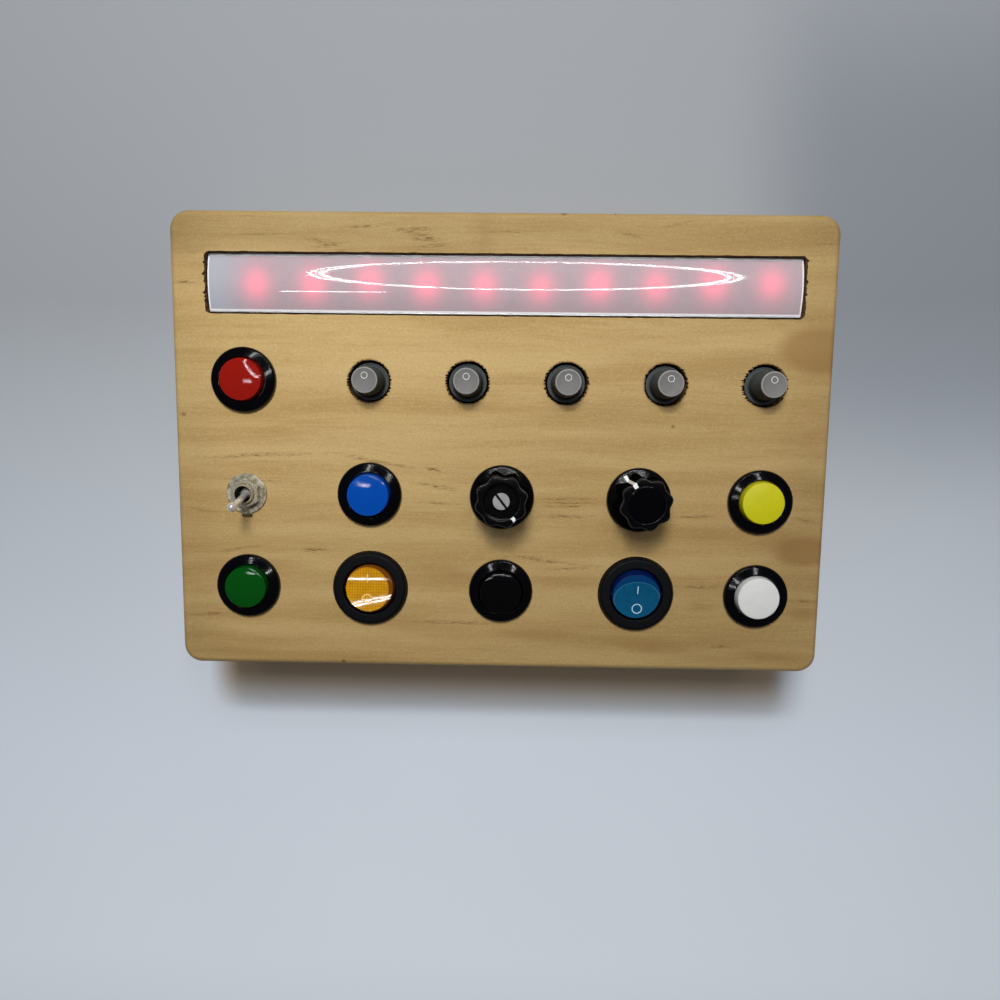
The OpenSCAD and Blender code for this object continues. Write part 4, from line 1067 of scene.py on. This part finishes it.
def buildDial(side, angle, ontoSkirt):
    look = dialShape
    piece = turned(side + "_fluted_dial", dialOutline(), look["steps"])
    fluted(piece)
    coated(piece, dialBlack, pointerWhite, dialWall, dialEdgeSheen)

    def onWall(face):
        spot = centre(face)
        return (abs(face.normal.z) < 0.3 and spot.xy.length > look["pocket"] + 0.2
                and look["skirtTop"] < spot.z < look["top"] - look["rimRound"])

    def onPointer(face):
        spot = centre(face)
        if (spot.x < 0 or spot.z < skirtHeight(look["pointerOut"])
                or not look["recess"] + 0.05 <= spot.xy.length <= look["pointerOut"]):
            return False
        if spot.z > look["top"] - 0.1:
            return abs(spot.y) < look["pointerHalfTop"][side]
        return abs(spot.y) < look["pointerHalf"] and (ontoSkirt or spot.z > look["top"] - 0.3)

    def onEdge(face):  # painted sheen: paler along the rim and round the recess, where rounded edges catch the light
        spot = centre(face)
        return (0.3 < face.normal.z < 0.95 and spot.z > look["top"] - look["rimRound"]
                and (spot.xy.length < look["recess"] + 0.3 or spot.z > look["top"] - look["sheenTop"]))

    painted(piece, (2, onWall), (3, onEdge), (1, onPointer))
    openMesh(piece, "FACE")  # the pointer's faces are still chosen
    bpy.ops.mesh.extrude_region_shrink_fatten(TRANSFORM_OT_shrink_fatten={"value": look["pointerLift"] * mm})
    closeMesh()
    placed(piece, at(dials[side]), (0, 0, radians(angle)))
    return finished(piece, side + "_dial", None, [side + "_dial"], 50)


buildDial("left", -55, False)
buildDial("right", 122, True)


def buildScrew(side):  # bright head; the slot's floor is painted black as shade
    slotDeep = 0.2
    piece = coated(softened(side + "_collet_screw", side + "_dial_screw", 0.06), screwGrey, satinBlack)
    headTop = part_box(side + "_dial_screw")[1].z / mm
    painted(piece, (1, lambda face: centre(face).z < headTop - slotDeep))
    finished(piece, side + "_dial", None, [side + "_dial_screw"])


buildScrew("left")
buildScrew("right")

discShape = {"foot": (4.6, 53.26), "radius": 5.28, "low": 53.4, "round": 0.3, "top": 55.5,
             "dish": (4.4, 55.46), "middle": 55.42}


def buildDisc():  # the cap that the left dial has lost
    look = discShape
    round, radius, top = sizes(look, "round", "radius", "top")
    outline = [(0, look["foot"][1]), look["foot"], (radius, look["low"])]
    outline += arc(radius - round, top - round, round, 0, 90, 4) + [look["dish"], (0, look["middle"])]
    disc = placed(turned("right_dial_disc", outline, 96), at(dials["right"]))
    finished(disc, "right_dial", capBlack, ["right_dial_cap"])


buildDisc()

print("toggle")

toggle = {"pivot": 41.6, "tilt": 13, "ball": 2.0, "tail": 0.9, "tailLow": -3.4, "waist": 0.8,
          "taper": [(1.12, 1.75), (1.12, 2.6), (1.0, 5.0), (0.88, 8.4)], "length": 14.2, "tip": 1.4,
          "neck": 3.0, "neckTop": 45.8, "throat": 2.35, "throatLow": 42.3, "throatIn": 2.1,
          "pitch": 0.55, "threadDepth": 0.22, "pin": 0.6, "pinHalf": 2.6, "caseHalf": (4, 6.5),
          "caseDeep": 9.4, "caseEase": 0.4}


def buildToggle():
    look = toggle
    tail, neckWide, neckTop, throat = sizes(look, "tail", "neck", "neckTop", "throat")
    tipZ = look["length"] - look["tip"]
    outline = [(0, look["tailLow"]), (tail - 0.2, look["tailLow"]), (tail, look["tailLow"] + 0.2)]
    outline += arc(0, 0, look["ball"], -63, 50, 10)
    outline += look["taper"] + [(look["waist"], tipZ - 1.3)] + arc(0, tipZ, look["tip"], -54, 90, 12)
    lever = turned("lever", outline, 48)
    pin = placed(rod("pin", look["pin"], -look["pinHalf"], look["pinHalf"], 24), (0, 0, 0), alongX)
    joined("toggle_arm", [lever, pin])
    placed(lever, at(toggleSpot, look["pivot"]), (radians(look["tilt"]), 0, 0))
    finished(lever, "toggle", leverMetal, ["toggle_lever"])

    points = [(throat + 0.2, zIn), (neckWide - 0.1, zIn)]
    points += threaded(neckWide, look["threadDepth"], look["pitch"], zIn + 0.5, neckTop - 0.55)
    points += [(neckWide - 0.12, neckTop - 0.3), (neckWide - 0.35, neckTop), (throat + 0.1, neckTop),
               (throat - 0.1, neckTop - 0.25), (look["throatIn"], look["throatLow"]), (look["throatIn"], zIn),
               (throat + 0.2, zIn)]
    neck = coated(turned("toggle_neck", points, 64), nickel, satinBlack)
    # the throat's inner faces are painted black as the shade down the hole
    painted(neck, (1, lambda face: centre(face).xy.length < throat))
    finished(placed(neck, at(toggleSpot)), "root", None, ["toggle_body"])
    x, y = toggleSpot.x, toggleSpot.y
    wide, tall = look["caseHalf"]
    case = block("toggle_box", (x - wide, y - tall, zIn - look["caseDeep"]), (x + wide, y + tall, zIn))
    finished(eased(case, look["caseEase"]), "root", redCase, ["toggle_body"])


buildToggle()
finished(softened("toggle_hex_nut", "toggle_nut", 0.22, 3), "root", nickel, ["toggle_nut"])
finished(softened("toggle_tab_washer", "toggle_washer", 0.18, 2), "root", turnedNickel(toggleSpot),
         ["toggle_washer"])

print("rockers")

rocker = {"bezel": 11.4, "bezelTop": 10.1, "height": 2.0, "pocket": 7.85, "depth": 8.6, "body": 10.0,
          "bodyLow": 28.0, "lens": 7.6, "lensTop": 4.5, "crown": 6.95, "pivot": 42.2, "mid": 1.9,
          "dish": 59.0, "dishHalf": 12, "skirt": 4.4, "line": 0.34, "lineLong": 2.5, "lineLow": 0.08,
          "lineHigh": 0.05, "ring": 1.42, "ringWire": 0.17, "ringFlat": 0.4, "peg": 1.2, "pegLow": 7.5,
          "trunnion": 1.0, "trunnionOut": 0.9}
rockerLooks = {
    "amber": {"tilt": -11, "top": amberTop, "side": amberShadedSide, "mark": markAmber, "markX": -0.6, "lineY": 2.9,
              "ringY": -3.4},
    "blue": {"tilt": 10, "top": blueTop, "side": blueShadedSide, "mark": markBlue, "markX": 0.35, "lineY": 1.9,
             "ringY": -4.1},
}


def bezelOutline():
    look = rocker
    height, body, bezel, pocket = sizes(look, "height", "body", "bezel", "pocket")
    top = zFace + height
    return [(0, look["bodyLow"]), (body - 0.4, look["bodyLow"]), (body, look["bodyLow"] + 0.4), (body, zFace),
            (bezel - 0.2, zFace)] + arc(bezel - 0.3, zFace + 0.4, 0.3, -45, 20, 3) + \
        arc(look["bezelTop"] - 0.1, top - 1.1, 1.1, 35, 90, 6) + \
        arc(pocket + 0.35, top - 0.35, 0.35, 90, 180, 4) + \
        [(pocket, zFace - look["depth"]), (0, zFace - look["depth"])]


def onDish(piece, x, y):  # laid on the lens's hollow top
    look = rocker
    height = look["mid"] + y * y / 2 / look["dish"]
    return placed(piece, (x * mm, y * mm, height * mm), (atan(y / look["dish"]), 0, 0))


def buildLens(name):
    look, own = rocker, rockerLooks[name]
    wide, skirt = look["lens"], look["skirt"]
    side = arc(0, 0, wide, -34, 4, 8)
    lens = turned("lens", [(0, -skirt), (side[0][0] - 0.3, -skirt)] + side
                  + [(look["crown"], look["mid"] + 0.3), (look["crown"] - 0.05, look["lensTop"]),
                     (0, look["lensTop"])], 96)
    coated(lens, own["side"])
    dish = placed(rod("dish", look["dish"], -look["dishHalf"], look["dishHalf"], 1024),
                  (0, 0, (look["mid"] + look["dish"]) * mm), alongX)
    cutBy(lens, coated(dish, own["top"]))
    eased(lens, 0.3, 3, 30)
    peg = coated(rod("peg", look["peg"], -look["pegLow"], -skirt + 0.2, 32), own["side"])
    reach = wide + look["trunnionOut"]
    # the axle is of the lens's own plastic, painted black as the shade in the gap round the lens
    axle = coated(placed(rod("axle", look["trunnion"], -reach, reach, 32), (0, 0, 0), alongX), satinBlack)
    joined(name + "_lens", [lens, peg, axle])

    half, long = look["line"] / 2, look["lineLong"] / 2
    line = eased(block("line", (-half, -long, -look["lineLow"]), (half, long, look["lineHigh"])), 0.05)
    onDish(line, own["markX"], own["lineY"])
    ring = hoop("ring", look["ring"], look["ringWire"], 48, 8)
    ring.scale = (1, 1, look["ringFlat"])
    onDish(ring, own["markX"], own["ringY"])
    marks = joined(name + "_rocker_marks", [line, ring])

    for piece in (lens, marks):
        placed(piece, at(rockers[name], look["pivot"]), (radians(own["tilt"]), 0, 0))
    finished(lens, name + "_rocker", None, [name + "_rocker"], 40)
    finished(marks, name + "_rocker", own["mark"])


bezel = turned("bezel", bezelOutline(), 96)
for name, spot in rockers.items():
    finished(duplicated(bezel, name + "_rocker_frame", at(spot)), "root", satinBlack,
             [name + "_rocker_housing"])
    buildLens(name)
bpy.data.objects.remove(bezel)

print("inside")  # these keep their solids and get their finish

insideFinish = [
    (nylon, ["led_strip", "led_chips", "board_posts"]), (satinBlack, ["button_nuts", "battery_holder"]),
    (tinned, ["button_terminals", "toggle_terminals", "rocker_terminals"]), (nickel, ["dial_nuts"]),
    (darkCase, ["knob_pots", "dial_pots"]), (circuitGreen, ["knob_board", "control_board"]),
    (zinc, ["board_screws", "back_screws"]), (sleeve, ["batteries"]),
    (brightMetal, ["left_dial_shaft", "right_dial_shaft"] + [f"knob_shaft_{i}" for i in range(1, 6)]),
    (wireCoat, ["power_leads", "light_leads", "knob_loom"]),
]
for material, nodes in insideFinish:
    for node in nodes:
        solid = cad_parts[node]
        if not solid.material_slots:
            coated(solid, material)
        for place in solid.material_slots:
            place.material = material

print("size")
